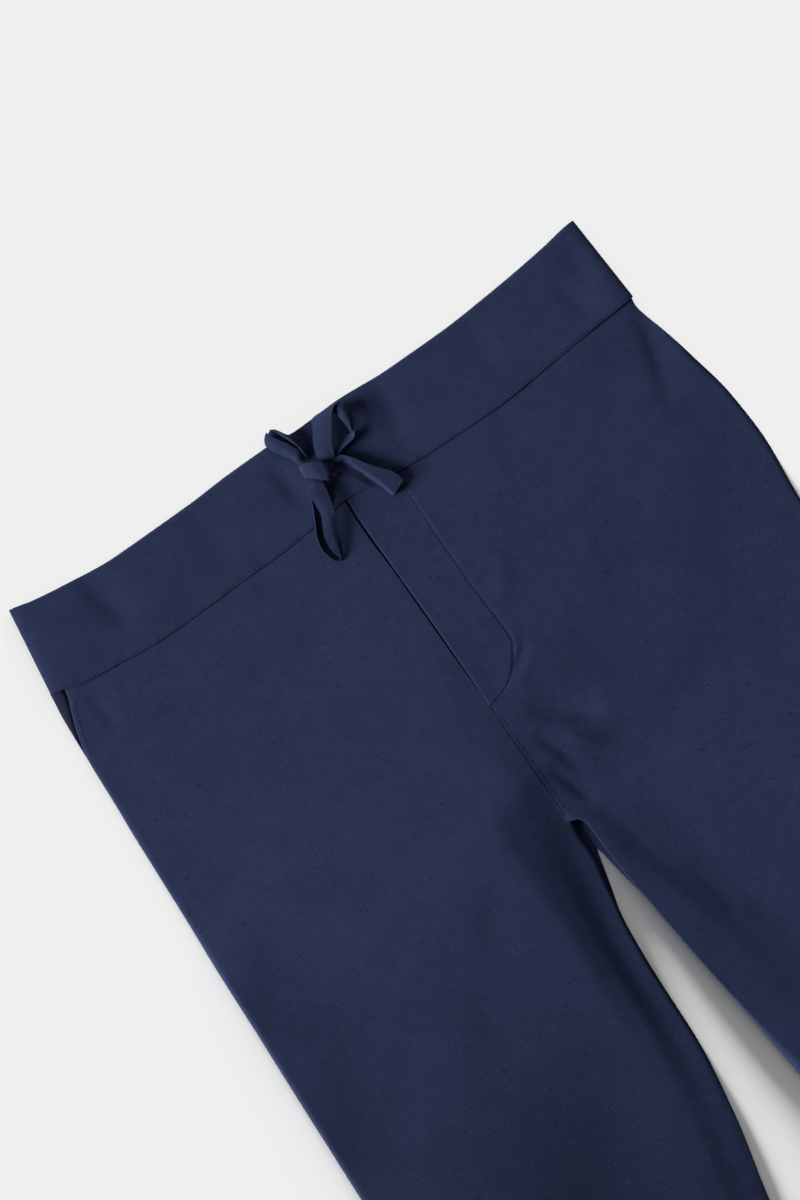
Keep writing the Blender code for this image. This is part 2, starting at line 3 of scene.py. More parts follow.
import bmesh
import bpy
import numpy as np
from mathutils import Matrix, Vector


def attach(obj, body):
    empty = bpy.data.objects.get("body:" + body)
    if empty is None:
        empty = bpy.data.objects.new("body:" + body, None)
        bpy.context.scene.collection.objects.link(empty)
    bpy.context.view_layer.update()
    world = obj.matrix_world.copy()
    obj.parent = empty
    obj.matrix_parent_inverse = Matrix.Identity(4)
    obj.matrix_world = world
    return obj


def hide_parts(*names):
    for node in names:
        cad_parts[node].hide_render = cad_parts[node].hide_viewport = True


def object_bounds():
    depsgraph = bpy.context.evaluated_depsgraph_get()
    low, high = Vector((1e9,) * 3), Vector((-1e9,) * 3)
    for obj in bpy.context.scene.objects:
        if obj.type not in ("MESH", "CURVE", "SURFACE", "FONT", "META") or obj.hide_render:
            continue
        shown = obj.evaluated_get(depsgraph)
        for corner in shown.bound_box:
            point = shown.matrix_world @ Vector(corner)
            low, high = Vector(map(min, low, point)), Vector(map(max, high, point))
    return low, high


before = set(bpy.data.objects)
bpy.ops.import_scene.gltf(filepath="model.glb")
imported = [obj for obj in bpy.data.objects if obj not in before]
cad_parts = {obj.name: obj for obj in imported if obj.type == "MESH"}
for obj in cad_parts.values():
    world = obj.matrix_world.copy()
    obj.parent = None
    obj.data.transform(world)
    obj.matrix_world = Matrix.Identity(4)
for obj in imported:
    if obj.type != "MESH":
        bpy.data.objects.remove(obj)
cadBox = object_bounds()
print("frame loaded")

# Right and left are the wearer's, so the right leg lies at -X. Down is the distance from the
# waistband's corners towards the hems. Tables of places are in mm, all else is in metres.
garment = {
    "length": cadBox[1][1] - cadBox[0][1],
    "wall": 0.0011,
    "edge": 0.0024,  # height of the front at its free edges
    "roll": 0.013,  # how far in from an inner edge it reaches the crown
    "sideTightness": 4.0,  # how many times as fast it does at the outer sides
    "rightRoll": 0.0025,  # how far in where the inner legs stand up
    "leftRoll": 0.0004,
    "standFrom": (0.29, 0.32),  # where they come to stand up, and where they lie down again
    "standTo": (0.62, 0.46),
    "crotch": 0.3147,
    "apart": (-0.004, 0.014),  # from here to here past the crotch the inner edges round off
    "blend": 0.003,  # how near the middle the heights of the two legs run together
    "hem": 0.030,
    "hemRaise": 0.00045,
    "hemStep": 0.0012,
    "outline": (  # down, right side, right inner leg, left inner leg, left side
        (60, -228.4, -1.6, -1.6, 224), (71, -229.6, -2.2, -2.3, 222.2),
        (80, -230.8, -2.7, -2.8, 224), (92, -231.8, -2.7, -2.9, 227.6),
        (115, -233.3, -2, -2.2, 233.6), (149, -235.1, -1.6, -1.7, 240.5),
        (183, -237.1, -1.4, -1.4, 242.5), (228, -239.3, -0.9, -1, 239.1),
        (288, -242.3, -0.9, -1, 237.5), (314, -243.1, -0.8, -0.9, 238),
        (316.2, -243.2, -0.6, 0.4, 238.2), (318, -243.3, -0.5, 4.6, 238.3),
        (321.5, -243.4, -0.4, 7, 238.5), (328, -243.8, -0.3, 8.1, 238.9),
        (342, -244.4, -0.4, 8.4, 239.8), (363, -245.4, -3.6, 9.8, 241.2),
        (397, -246.7, -8.8, 13.3, 243.4), (435, -248.3, -11.2, 17.4, 245.6),
        (475, -249.9, -12.4, 22.5, 247.8), (531, -251.9, -20, 28.7, 250.6),
        (588, -253.7, -32.7, 36.2, 253.1), (660, -255.6, -45.5, 46.2, 255.3),
        (750, -257.1, -54.8, 54.8, 257), (860, -257.9, -61, 61, 257.9),
        (1060, -258.2, -65.5, 65.5, 258.2),
    ),
}

waist = {
    "halfTop": 0.2199,
    "halfFootRight": 0.2284,
    "halfFootLeft": 0.2240,
    "depth": 0.061,
    "wall": 0.0018,
    "crown": 0.0068,
    "edge": 0.0050,
    "sideRoll": 0.009,
    "driftShare": 0.8,  # of the cloth's uneven lie
    "lip": 0.0012,  # how far the folded upper edge comes down
    "lipRoll": 0.0022,
    "footSink": 0.00015,
    "footReach": 0.0009,
    "ridge": (0.0032, 0.0003, 0.0016),  # above the seam at the left end: where, how high, how wide
    "ridgeFrom": (0.155, 0.175),
    "rows": (  # across, upper edge, seam
        (-229, 0, 60), (-219.2, 0.6, 62.2), (-203.8, 4, 66.3), (-182.7, 7.1, 68.5),
        (-144.2, 10.9, 71.9), (-86.5, 10.3, 70.5), (-54.5, 8.7, 69.8), (-22.4, 8.3, 67.3),
        (-2, 10.2, 65.1), (28.8, 9.1, 68.3), (67.3, 11.2, 70.9), (105.8, 10.9, 71.4),
        (157, 7.5, 68), (192.6, 3.6, 64.7), (219.9, 0, 62.6), (229, 0, 61.8),
    ),
}

fly = {
    "raise": 0.00003,
    "wall": 0.0009,
    "foot": 0.2262,
    "groove": 0.0003,  # how deep the J of stitching draws the cloth in
    "grooveWidth": 0.0008,
    "bend": (0.196, 0.216),  # where the J turns towards its foot
    "bendWider": 0.62,
    "plain": (0.170, 0.200),  # the stitching is drawn in least above this
    "plainShare": 0.12,
    "uneven": (0.35, 0.016, 47),  # how much the groove's depth varies, how long each stretch, a seed
    "groovePast": 0.004,
    "lapUnder": 0.0030,  # how far the left front runs on under the fly's edge
    "lapSink": 0.0011,
    "lapFrom": (0.0001, 0.0013),
    "sink": 0.0002,  # of the right front at the opening
    "sinkReach": 0.006,
    "turnIn": 0.0004,  # of the fly itself there, which stands up a little behind its edge
    "turnReach": 0.0003,
    "stand": (0.0003, 0.0002),  # how high, and how unevenly
    "standEvery": 0.011,
    "standReach": 0.006,
    "gape": (  # down, half the gap down the opening
        (56, 0), (70, 0.8), (95, 0.9), (120, 0.6), (160, 0.6), (185, 0.5), (210, 0.3), (229, 0),
    ),
    "edge": (  # down, across
        (60, 33.3), (110, 33.3), (155, 33.5), (185, 35), (197.4, 35.3), (208.3, 29.5),
        (217.9, 21.2), (223.7, 10.6), (226.2, -0.9),
    ),
}

pocket = {
    "from": 0.060,
    "to": 0.116,
    "fades": (0.004, 0.009),
    "lift": 0.0014,
    "turnIn": 0.0006,  # how far the mouth's edge turns down
    "turnReach": 0.0007,
    "turnEnds": 0.006,  # how far above its foot
    "mouth": (  # down, across: the wearer's right one, clear of the side
        (60, -218), (72, -220.5), (81, -224), (95, -228.8), (108, -232), (116, -233.3),
    ),
}


def evenSlopes(rises):
    # the slope at every place, level where the values turn, so that nothing overshoots
    before, after = rises[:-1], rises[1:]
    sameWay = before * after > 0
    mean = np.where(sameWay, 2 * before * after / np.where(sameWay, before + after, 1), 0)
    return np.concatenate([rises[:1], mean, rises[-1:]])


def between(ends, slopes, step, t):
    # from one value to the next, with these slopes at the two ends
    rise = (3 - 2 * t) * t * t
    fromSlopes = t * (t - 1) ** 2 * slopes[0] + t * t * (t - 1) * slopes[1]
    return ends[0] + (ends[1] - ends[0]) * rise + step * fromSlopes


def smoothCurve(places, values):
    # passes smoothly through the values, one or several side by side
    places, values = np.array(places, float), np.array(values, float)
    beside = (1,) * (values.ndim - 1)
    slopes = evenSlopes(np.diff(values, axis=0) / np.diff(places).reshape((-1,) + beside))

    def valueAt(place):
        place = np.clip(place, places[0], places[-1])
        i = np.clip(np.searchsorted(places, place) - 1, 0, len(places) - 2)
        step = places[i + 1] - places[i]
        t = ((place - places[i]) / step).reshape(step.shape + beside)
        ends, slopesThere = (values[i], values[i + 1]), (slopes[i], slopes[i + 1])
        return between(ends, slopesThere, step.reshape(t.shape), t)

    return valueAt


def curvesOf(rows):
    # each column of a table as a smooth function of the first one
    places, *columns = np.array(rows, float).T / 1000
    curves = [smoothCurve(places, values) for values in columns]
    return curves if len(curves) > 1 else curves[0]


rightSideAt, rightInnerAt, leftInnerAt, leftSideAt = curvesOf(garment["outline"])
waistTopAt, waistSeamAt = curvesOf(waist["rows"])
flyGapeAt = curvesOf(fly["gape"])
flyEdgeAt = curvesOf(fly["edge"])
pocketMouthAt = curvesOf(pocket["mouth"])


def middleAt(down):
    return (rightInnerAt(down) + leftInnerAt(down)) / 2


def smoothStep(value):
    value = np.clip(value, 0, 1)
    return value * value * (3 - 2 * value)


def ease(value, start, end):
    # 0 at the start and 1 at the end, which may be the lower one
    return smoothStep((value - start) / (end - start))


def rolled(distance, reach):
    left = 1 - np.clip(distance / reach, 0, 1)
    return np.sqrt(1 - left * left)


def softNoise(across, down, size, seed):
    # smooth hills and hollows from -1 to 1, as wide as size
    lattice = np.random.default_rng(seed).uniform(-1, 1, (256, 256))
    x, y = across / size + 97.3, down / size + 11.7
    i, j = np.floor(x).astype(int), np.floor(y).astype(int)
    s, t = smoothStep(x - i), smoothStep(y - j)
    i, j = i % 255, j % 255
    near = lattice[i, j] * (1 - s) + lattice[i + 1, j] * s
    far = lattice[i, j + 1] * (1 - s) + lattice[i + 1, j + 1] * s
    return near * (1 - t) + far * t


# Troughs (height below 0) and ridges, each from its upper to its lower end: where it starts and ends,
# how far it bends towards the wearer's left, its half width on that side, its height, and how many
# times as wide its flank is on the wearer's right.
bodyFolds = (
    # fan of creases from the fly's foot
    (15, 245, 58, 271, 0, 14, -2.2, 0.22),
    (11.5, 256, 23.5, 295, 1.2, 11, -1.2, 0.24),
    (6.5, 280, 19, 316, 0.8, 11, -1.2, 0.22),
    (31, 266, 68, 296, -0.6, 14, -1.1, 0.2),
    # beside the left inner edge
    (15, 300, 33, 404, -4, 13, -0.5, 0.5),
    (46, 380, 54, 426, 1, 9, -0.6, 0.45),
    # puckers beside the fly's curve
    (62, 150, 39, 181, 0.3, 6, 0.6, 0.9),
    (42, 204.5, 22, 217, 0.3, 4.4, -1, 0.4),
    (41, 217, 18, 226, 0.3, 3.4, 0.4, 1),
    (37, 197, 33, 206, 0.3, 2.8, 0.3, 1),
    # below the left pocket mouth
    (224, 62, 202, 138, 2, 14, -1.4, 0.4),
    (205, 100, 176, 190, 4, 18, 0.4, 1),
    (115, 72, 95, 108, 2, 10, -0.4, 0.8),
    (180, 80, 150, 140, 3, 12, -0.3, 0.8),
    # faint, broad and slanting over the left hip
    (130, 140, 60, 220, 6, 18, 0.5, 1.3),
    (215, 150, 120, 230, 6, 20, 0.6, 1.3),
    (200, 215, 110, 300, 6, 20, -0.6, 1),
    # the right pocket's seam pulls a faint crease
    (-212, 66, -207, 108, 2.2, 6, -0.5, 0.5),
    # dents of the right thigh
    (-180, 258, -230, 324, -2, 52, -2.1, 0.42),
    (-180, 352, -236, 420, -2, 42, -1.4, 0.5),
    (-142, 352, -178, 396, -1, 20, -0.6, 0.6),
    (-60, 318, -92, 362, -1, 18, -0.7, 0.5),
    (-88, 352, -152, 458, 3, 32, -1, 0.6),
    (-66, 410, -140, 560, 6, 42, -2.2, 1),
    # down the right leg
    (-85, 560, -205, 640, 10, 17, 1.3, 1),
    (-130, 620, -235, 710, 8, 13, -1.6, 1.3),
    (-190, 660, -95, 780, 8, 17, 1.2, 1),
    (-75, 760, -210, 840, 10, 15, -1.4, 1.3),
    (-160, 800, -240, 900, 6, 14, 0.9, 1),
    (-150, 860, -160, 1050, 6, 18, -1, 1.2),
    (-100, 900, -92, 1055, 3, 12, 0.8, 1),
    # down the left leg
    (215, 330, 110, 420, 8, 18, 1, 1.3),
    (232, 420, 100, 500, -6, 18, 1.1, 1),
    (234, 480, 190, 530, 3, 9, -1.4, 1.3),
    (75, 500, 180, 610, 10, 15, -1.6, 1.3),
    (225, 640, 110, 720, 10, 17, 1.2, 1),
    (85, 730, 215, 850, -8, 15, -1.4, 1.3),
    (240, 860, 185, 930, 4, 11, 0.9, 1),
    (165, 870, 150, 1050, 6, 18, -1, 1.2),
    (100, 930, 108, 1055, 3, 12, 0.8, 1),
)
waistFolds = (
    (-171, 4, -159, 56, -1, 11, -1.3, 0.6),
    (-148, 10, -136, 62, 3, 12, 0.4, 1),
    (187, 24, 195, 62, 1, 10, -1, 0.6),
    (203, 12, 205, 42, 1, 9, -0.7, 0.6),
    (-29, 18, -26, 56, 1, 8, -1.1, 0.7),
    (-95, 12, -85, 62, 1, 10, -0.4, 0.9),
    (56, 8, 48, 60, 2, 7, -1, 0.9),
    (128, 12, 122, 64, 1, 9, -0.4, 0.9),
)


# How high the fronts lie: for every distance down, places across the garment and the height at each.
# The right leg is full, and falls away towards its inner edge; the left one stands up at its inner
# edge and sinks from there.
rightLie = (
    (66, (-245, 4), (-150, 6), (-60, 6), (-30, 6.1), (-15, 6.2), (5, 6.2)),
    (150, (-245, 3.8), (-150, 6.9), (-60, 8.8), (-30, 9.2), (-15, 9.3), (5, 9.3)),
    (225, (-245, 5), (-150, 8.6), (-60, 11.2), (-30, 11.8), (-15, 11.9), (5, 11.2)),
    (250, (-245, 7.4), (-170, 10.4), (-50, 12.6), (-26, 12.8), (-10, 12.2), (5, 11)),
    (275, (-245, 11.2), (-175, 11.2), (-40, 13.6), (-18, 13.2), (-6, 11.8), (5, 10.4)),
    (295, (-245, 13), (-175, 11.6), (-46, 14.6), (-27, 12.6), (-8, 9), (5, 6.8)),
    (310, (-245, 13.4), (-175, 11.8), (-46, 14.8), (-28, 12.2), (-8, 7.9), (5, 5.2)),
    (330, (-245, 13.8), (-175, 12), (-46, 14.8), (-29, 12.2), (-9, 6.7), (5, 4.6)),
    (350, (-245, 13.8), (-175, 12.2), (-44, 13.8), (-29, 11.4), (-12, 6.5), (5, 4.4)),
    (370, (-245, 14.2), (-175, 12.4), (-45, 13.2), (-31, 10.9), (-15, 6), (2, 4.6)),
    (400, (-245, 15), (-175, 12.6), (-47, 12.2), (-33, 9.9), (-20, 5.7), (-3, 4.4)),
    (430, (-245, 14.4), (-200, 14.6), (-50, 11.2), (-34, 9.2), (-22, 5.5), (-5, 4.4)),
    (460, (-245, 13.6), (-205, 15.8), (-58, 9.8), (-37, 8.2), (-23, 4.9), (-7, 3.6)),
    (500, (-245, 12), (-200, 16.6), (-70, 8.4), (-42, 7.2), (-27, 4.8), (-12, 3.6)),
    (550, (-245, 10), (-195, 15.6), (-84, 8.2), (-52, 6.8), (-37, 4.8), (-20, 3.6)),
    (620, (-245, 8), (-190, 11.4), (-98, 8.2), (-66, 6.8), (-50, 4.8), (-34, 3.6)),
    (700, (-250, 6.6), (-180, 8.4), (-108, 7.2), (-76, 6.2), (-60, 4.8), (-44, 3.8)),
    (800, (-255, 5.6), (-170, 6.8), (-114, 6.6), (-84, 6), (-68, 5.2), (-50, 4.2)),
    (1060, (-255, 5.4), (-170, 6.2), (-114, 6.2), (-88, 6), (-72, 5.4), (-55, 4.6)),
)
leftLie = (
    (66, (-8, 6.2), (10, 6.2), (30, 6.1), (60, 6), (150, 5.8), (245, 4.5)),
    (150, (-8, 9.3), (10, 9), (30, 8.7), (60, 8.3), (150, 6.6), (245, 4.2)),
    (225, (-8, 11.9), (10, 11.1), (30, 10.6), (60, 9.8), (150, 7.4), (245, 4.2)),
    (250, (-8, 12.1), (8, 10.9), (26, 10.2), (60, 9.1), (150, 7), (245, 4.2)),
    (275, (-8, 12.2), (5, 10.4), (22, 9.5), (54, 8.1), (150, 6.4), (245, 4.2)),
    (295, (-8, 9.4), (4, 7.3), (18, 6.1), (48, 4.4), (150, 5.4), (245, 4.2)),
    (310, (-8, 8.4), (4, 6.6), (20, 4.9), (50, 3.2), (150, 4.9), (245, 4.2)),
    (320, (-4, 8.2), (9, 7.4), (24, 5), (52, 3.3), (150, 4.7), (245, 4.2)),
    (330, (0, 9.2), (12, 8.3), (27, 5.4), (56, 3.4), (150, 4.7), (245, 4.2)),
    (350, (0, 10), (16, 9), (31, 5.8), (60, 3.6), (150, 4.7), (245, 4.2)),
    (370, (2, 10.2), (21, 9.2), (36, 6.2), (65, 3.6), (150, 4.7), (245, 4.2)),
    (400, (5, 10.2), (30, 9), (45, 6.3), (68, 3.7), (150, 4.7), (245, 4.2)),
    (430, (10, 9.6), (38, 8.2), (54, 5.9), (75, 3.9), (150, 4.7), (245, 4.2)),
    (460, (14, 9), (42, 7.6), (60, 5.6), (82, 4.1), (150, 4.7), (245, 4.4)),
    (500, (20, 8.4), (50, 7), (68, 5.4), (92, 4.4), (150, 4.9), (245, 4.6)),
    (560, (26, 7.2), (60, 6.4), (78, 5.6), (104, 5), (160, 5.4), (245, 4.6)),
    (700, (40, 5.4), (75, 5.8), (95, 5.8), (120, 5.6), (170, 5.8), (250, 5)),
    (1060, (55, 5), (85, 5.8), (105, 5.8), (130, 5.8), (180, 5.8), (255, 5)),
)


def lieCurves(rows):
    # both as functions of the distance down: the places across, and the heights there
    table = np.array([row[1:] for row in rows], float) / 1000
    return smoothCurve([row[0] / 1000 for row in rows], table)


rightLieAt, leftLieAt = lieCurves(rightLie), lieCurves(leftLie)


def lieHeight(curves, across, down):
    # smooth across the garment through the places that the curves give for this distance down
    places, heights = np.moveaxis(curves(down), (-1, -2), (0, 1))
    steps = np.diff(places, axis=0)
    slopes = evenSlopes(np.diff(heights, axis=0) / steps)
    i = np.clip((places <= across).sum(axis=0) - 1, 0, len(steps) - 1)[None]

    def pickAt(values, index):
        return np.take_along_axis(values, index, axis=0)[0]

    step = pickAt(steps, i)
    t = np.clip((across - pickAt(places, i)) / step, 0, 1)
    ends, slopesThere = ([pickAt(values, k) for k in (i, i + 1)] for values in (heights, slopes))
    return between(ends, slopesThere, step, t)


def frontLie(across, down):
    right, left = lieHeight(rightLieAt, across, down), lieHeight(leftLieAt, across, down)
    return right + (left - right) * ease(across - middleAt(down), -garment["blend"], garment["blend"])


def foldField(folds, across, down):
    total = np.zeros_like(across)
    for *sizes, lean in folds:
        across1, down1, across2, down2, bow, halfWidth, height = np.array(sizes) / 1000
        runAcross, runDown = across2 - across1, down2 - down1
        length = math.hypot(runAcross, runDown)
        toAcross, toDown = across - across1, down - down1
        along = np.clip((toAcross * runAcross + toDown * runDown) / length**2, 0, 1)
        aside = (toAcross * runDown - toDown * runAcross) / length - 4 * bow * along * (1 - along)
        width = np.where(aside > 0, halfWidth, halfWidth * lean)
        total += height * np.sin(math.pi * along) ** 0.8 * np.exp(-((aside / width) ** 2))
    return total


hills = (  # the uneven lie of the cloth: how wide, how high, how far turned and how much stretched
    (0.105, 0.0007, 0, 1),
    (0.042, 0.00018, 0.3, 1),
    (0.014, 0.00004, 0, 0.8),
)
ripples = {  # along the seams: how long, how high, how far from the stitches they reach, and a seed
    "waist": (0.0085, 0.00022, 0.011, 21),
    "centre": (0.0070, 0.00025, 0.009, 23),
    "hem": (0.0090, 0.00030, 0.010, 25),
    "band": (0.0075, 0.00022, 0.007, 53),
}
seams = {
    "sink": 0.0003,  # how far the fronts sink at the waist seam
    "sinkReach": 0.0024,
    "step": 0.00018,  # how much lower the left front lies at the centre seam
    "stepFrom": (-0.0006, 0.0004),
    "stepReach": 0.012,
    "stepFade": 0.003,  # before the crotch
    "rippleFades": (0.010, 0.006),  # of the centre seam: before the crotch, and past the fly's foot
}


def clothDrift(across, down, seed):
    total = 0
    for size, height, turn, stretch in hills:
        total = total + softNoise(across + turn * down, down * stretch - turn * across, size, seed) * height
        seed += 1
    return total


def seamRipple(along, distance, size, height, reach, seed):
    # small waves that a row of stitches draws up in the cloth beside it
    wave = softNoise(along, np.zeros_like(along) + seed * 0.01, size, seed)
    return height * wave * np.exp(-np.abs(distance) / reach)


def sideDistance(across, down):
    toSide = np.minimum(across - rightSideAt(down), leftSideAt(down) - across) * garment["sideTightness"]
    onRight = across < middleAt(down)
    toInner = np.where(onRight, rightInnerAt(down) - across, across - leftInnerAt(down))
    steepest = np.where(onRight, garment["rightRoll"], garment["leftRoll"])
    standing = ease(down, *garment["standFrom"]) * ease(down, *garment["standTo"])
    toInner *= garment["roll"] / (garment["roll"] + (steepest - garment["roll"]) * standing)
    apart = ease(down - garment["crotch"], *garment["apart"])
    return np.minimum(toSide, toInner * apart + garment["roll"] * (1 - apart))


def frontHeight(across, down):
    roll = rolled(sideDistance(across, down), garment["roll"])
    height = garment["edge"] + (frontLie(across, down) - garment["edge"]) * roll
    height += (foldField(bodyFolds, across, down) + clothDrift(across, down, 11)) * roll
    mouth = smoothStep((down - pocket["from"]) / pocket["fades"][0])
    mouth *= smoothStep((pocket["to"] - down) / pocket["fades"][1])
    height += pocket["lift"] * mouth * (1 - roll)
    pastWaist = down - waistSeamAt(across)
    height -= seams["sink"] * np.exp(-np.maximum(pastWaist, 0) / seams["sinkReach"])
    height += seamRipple(across, pastWaist, *ripples["waist"])
    toCentre = across - rightInnerAt(down)
    toCrotch, pastFly = garment["crotch"] - down, down - fly["foot"]
    step = ease(toCentre, *seams["stepFrom"]) * np.exp(-np.maximum(toCentre, 0) / seams["stepReach"])
    height -= seams["step"] * step * (pastFly > 0) * smoothStep(toCrotch / seams["stepFade"])
    above, past = seams["rippleFades"]
    onSeam = smoothStep(toCrotch / above) * smoothStep(pastFly / past)
    height += seamRipple(down, toCentre, *ripples["centre"]) * onSeam
    pastHem = down - (garment["length"] - garment["hem"])
    height += garment["hemRaise"] * smoothStep(pastHem / garment["hemStep"])
    return height + seamRipple(across, pastHem, *ripples["hem"])


def mouthHeight(across, down, side=None):
    # the front beside the right pocket's mouth, where its edge turns in
    side = pocketMouthAt(down) if side is None else side
    atMouth = np.exp(-(across - side) / pocket["turnReach"]) * (down < pocket["to"] - pocket["turnEnds"])
    return frontHeight(across, down) - pocket["turnIn"] * atMouth


def flyGroove(across, down):
    # how much the J of stitching draws the cloth in, more in some stretches than in others
    distance = (across - flyEdgeAt(down)) * (1 - fly["bendWider"] * ease(down, *fly["bend"]))
    varies, size, seed = fly["uneven"]
    uneven = 1 - varies + varies * softNoise(down, np.zeros_like(down), size, seed)
    uneven *= fly["plainShare"] + (1 - fly["plainShare"]) * ease(down, *fly["plain"])
    groove = uneven * np.exp(-((distance / fly["grooveWidth"]) ** 2))
    return np.where(down < fly["foot"] + fly["groovePast"], groove, 0)


def lapHeight(across, down):
    drawnIn = (fly["groove"] + fly["raise"]) * flyGroove(across, down)
    return frontHeight(across, down) + fly["raise"] - drawnIn


def place(across, down, height):
    return np.stack([across, cadBox[1][1] - down, height], axis=-1)


def addPiece(name, points, faces):
    mesh = bpy.data.meshes.new(name)
    mesh.from_pydata(points.reshape(-1, 3).tolist(), [], faces)
    mesh.update()
    piece = bpy.data.objects.new(name, mesh)
    bpy.context.scene.collection.objects.link(piece)
    return piece


def gridMesh(name, points):
    rows, columns = points.shape[:2]
    index = np.arange(rows * columns).reshape(rows, columns)
    corners = [index[:-1, :-1], index[1:, :-1], index[1:, 1:], index[:-1, 1:]]
    return addPiece(name, points, np.stack(corners, axis=-1).reshape(-1, 4).tolist())


def deselectAll():
    for thing in bpy.context.selected_objects:
        thing.select_set(False)


def reshape(piece, kind, **settings):
    # one modifier, applied at once
    deselectAll()
    piece.select_set(True)
    bpy.context.view_layer.objects.active = piece
    modifier = piece.modifiers.new("shaping", kind)
    for name, value in settings.items():
        setattr(modifier, name, value)
    bpy.ops.object.modifier_apply(modifier="shaping")


def thicken(name, across, down, height, wall):
    # the wall grows inwards, away from the side that the faces look to
    piece = gridMesh(name, place(across, down, height))
    reshape(piece, "SOLIDIFY", thickness=wall, offset=-1, use_quality_normals=True)
    bpy.ops.object.shade_smooth_by_angle(angle=math.radians(50))
    return piece


panel = {
    "top": 0.0652,  # every panel's upper edge, just under the waistband
    "seamLevel": 0.066,  # the row that follows the waist seam, this far below it
    "seamGap": 0.0002,
    "seamFade": 0.090,  # how far down the rows go on bending with it
    "columns": 92,
    "wander": 0.0005,  # a cloth edge is never quite straight
    "wanderEvery": 0.034,
    "wanderFrom": (0.12, 0.17),
}
edgeSteps = np.array([0, 0.15, 0.4, 0.8, 1.4, 2.3, 3.6, 5.4, 7.6]) / 1000
rowSteps = {  # between rows of the mesh, how far down the garment they go on, and between the rest
    "fronts": (0.0030, 0.560, 0.0046),
    "backs": (0.006, 0.4, 0.008),
    "fly": (0.0024, 0.5, 0),
}
closeRows = {  # rows close to an edge, in mm past it
    "top": (0, 0.4, 1, 2),
    "crotch": (0.3, 1.2, 1.8, 2.4, 3.4, 4.5, 7),
    "hem": (-1.5, -0.5, 0, 0.5, 1.4),
    "foot": (-1.5, -0.6, -0.2, 0),
    "backCrotch": (0, 0.4, 1.3, 2.6, 8),
}


def closeTo(edge, name):
    return edge + np.array(closeRows[name]) / 1000


def rowPlaces(end, fine, fineTo, coarse):
    # fine rows over the body and coarser ones down the legs
    hemAt = end - garment["hem"]
    places = [closeTo(panel["top"], "top"), np.arange(panel["top"] + 0.0035, min(end, fineTo), fine)]
    if end < fineTo:
        return np.concatenate(places + [[end]])
    places += [closeTo(garment["crotch"], "crotch"), np.arange(fineTo, hemAt - 0.004, coarse)]
    places += [closeTo(hemAt, "hem"), np.arange(hemAt + 0.005, end - 0.003, coarse), closeTo(end, "foot")]
    return np.sort(np.concatenate(places))


def belowSeam(across, rows):
    # each row's places down, bent with the waist seam
    down = np.repeat(rows[:, None], across.shape[1], axis=1)
    fade = 1 - smoothStep((down - panel["seamLevel"]) / panel["seamFade"])
    return down + (waistSeamAt(across) + panel["seamGap"] - panel["seamLevel"]) * fade


def panelGrid(rows, start, end, columns):
    # close columns along both edges, even ones between
    start, end, reach = start[:, None], end[:, None], edgeSteps[-1]
    even = start + reach + (end - start - 2 * reach) * np.linspace(0, 1, columns)[1:-1]
    across = np.concatenate([start + edgeSteps, even, end - edgeSteps[::-1]], axis=1)
    return across, belowSeam(across, rows)


def stripGrid(rows, start, end, spread):
    across = start[:, None] + (end - start)[:, None] * spread
    return across, belowSeam(across, rows)


def wander(down, seed):
    uneven = softNoise(down, np.zeros_like(down), panel["wanderEvery"], seed)
    return uneven * panel["wander"] * ease(down, *panel["wanderFrom"])


def makeFrontPanels():
    rows = rowPlaces(garment["length"], *rowSteps["fronts"])
    side = rightSideAt(rows) + wander(rows, 31)
    side = np.where(rows < pocket["to"], np.maximum(side, pocketMouthAt(rows)), side)
    across, down = panelGrid(rows, side, rightInnerAt(rows) - flyGapeAt(rows), panel["columns"])
    atOpening = np.exp(-((rightInnerAt(down) - across) / fly["sinkReach"])) * (down < fly["foot"])
    height = mouthHeight(across, down, side[:, None]) - fly["sink"] * atOpening
    right = thicken("frontRight", across, down, height, garment["wall"])

    footRows = [row[0] / 1000 for row in fly["edge"] if row[0] > 190] + [fly["foot"] + 0.0004]
    rows = np.sort(np.concatenate([rows, footRows]))
    inner = leftInnerAt(rows)
    inner = np.where(rows < fly["foot"], np.maximum(inner, flyEdgeAt(rows) - fly["lapUnder"]), inner)
    across, down = panelGrid(rows, inner, leftSideAt(rows) + wander(rows, 33), panel["columns"])
    height = frontHeight(across, down) - fly["groove"] * flyGroove(across, down)
    lapped = ease(flyEdgeAt(down) - across, *fly["lapFrom"]) * (down < fly["foot"] + 0.001)
    height -= fly["lapSink"] * lapped
    return right, thicken("frontLeft", across, down, height, garment["wall"])


underlap = {"from": -0.013, "to": 0.008, "foot": 0.215, "height": 0.0026, "wall": 0.0008}


def makeFly():
    rows = rowPlaces(fly["foot"] - 0.0004, *rowSteps["fly"])
    start = leftInnerAt(rows) + flyGapeAt(rows)
    end = np.maximum(flyEdgeAt(rows), start + 0.0006)
    even = np.linspace(0, 1, 25)
    across, down = stripGrid(rows, start, end, (even + smoothStep(even)) / 2)
    toOpening = across - start[:, None]
    height = lapHeight(across, down) - fly["turnIn"] * np.exp(-toOpening / fly["turnReach"])
    level, varies = fly["stand"]
    uneven = level + varies * softNoise(down, across * 0.6, fly["standEvery"], 41)
    height += uneven * np.exp(-toOpening / fly["standReach"])
    lap = thicken("flyLap", across, down, height, fly["wall"])

    rows = np.linspace(panel["top"], underlap["foot"], 60)
    ends = (underlap["from"] + 0 * rows, underlap["to"] + 0 * rows)
    across, down = stripGrid(rows, *ends, np.linspace(0, 1, 9))
    height = underlap["height"] + softNoise(across, down, 0.02, 43) * 0.0002
    return lap, thicken("flyStrip", across, down, height, underlap["wall"])


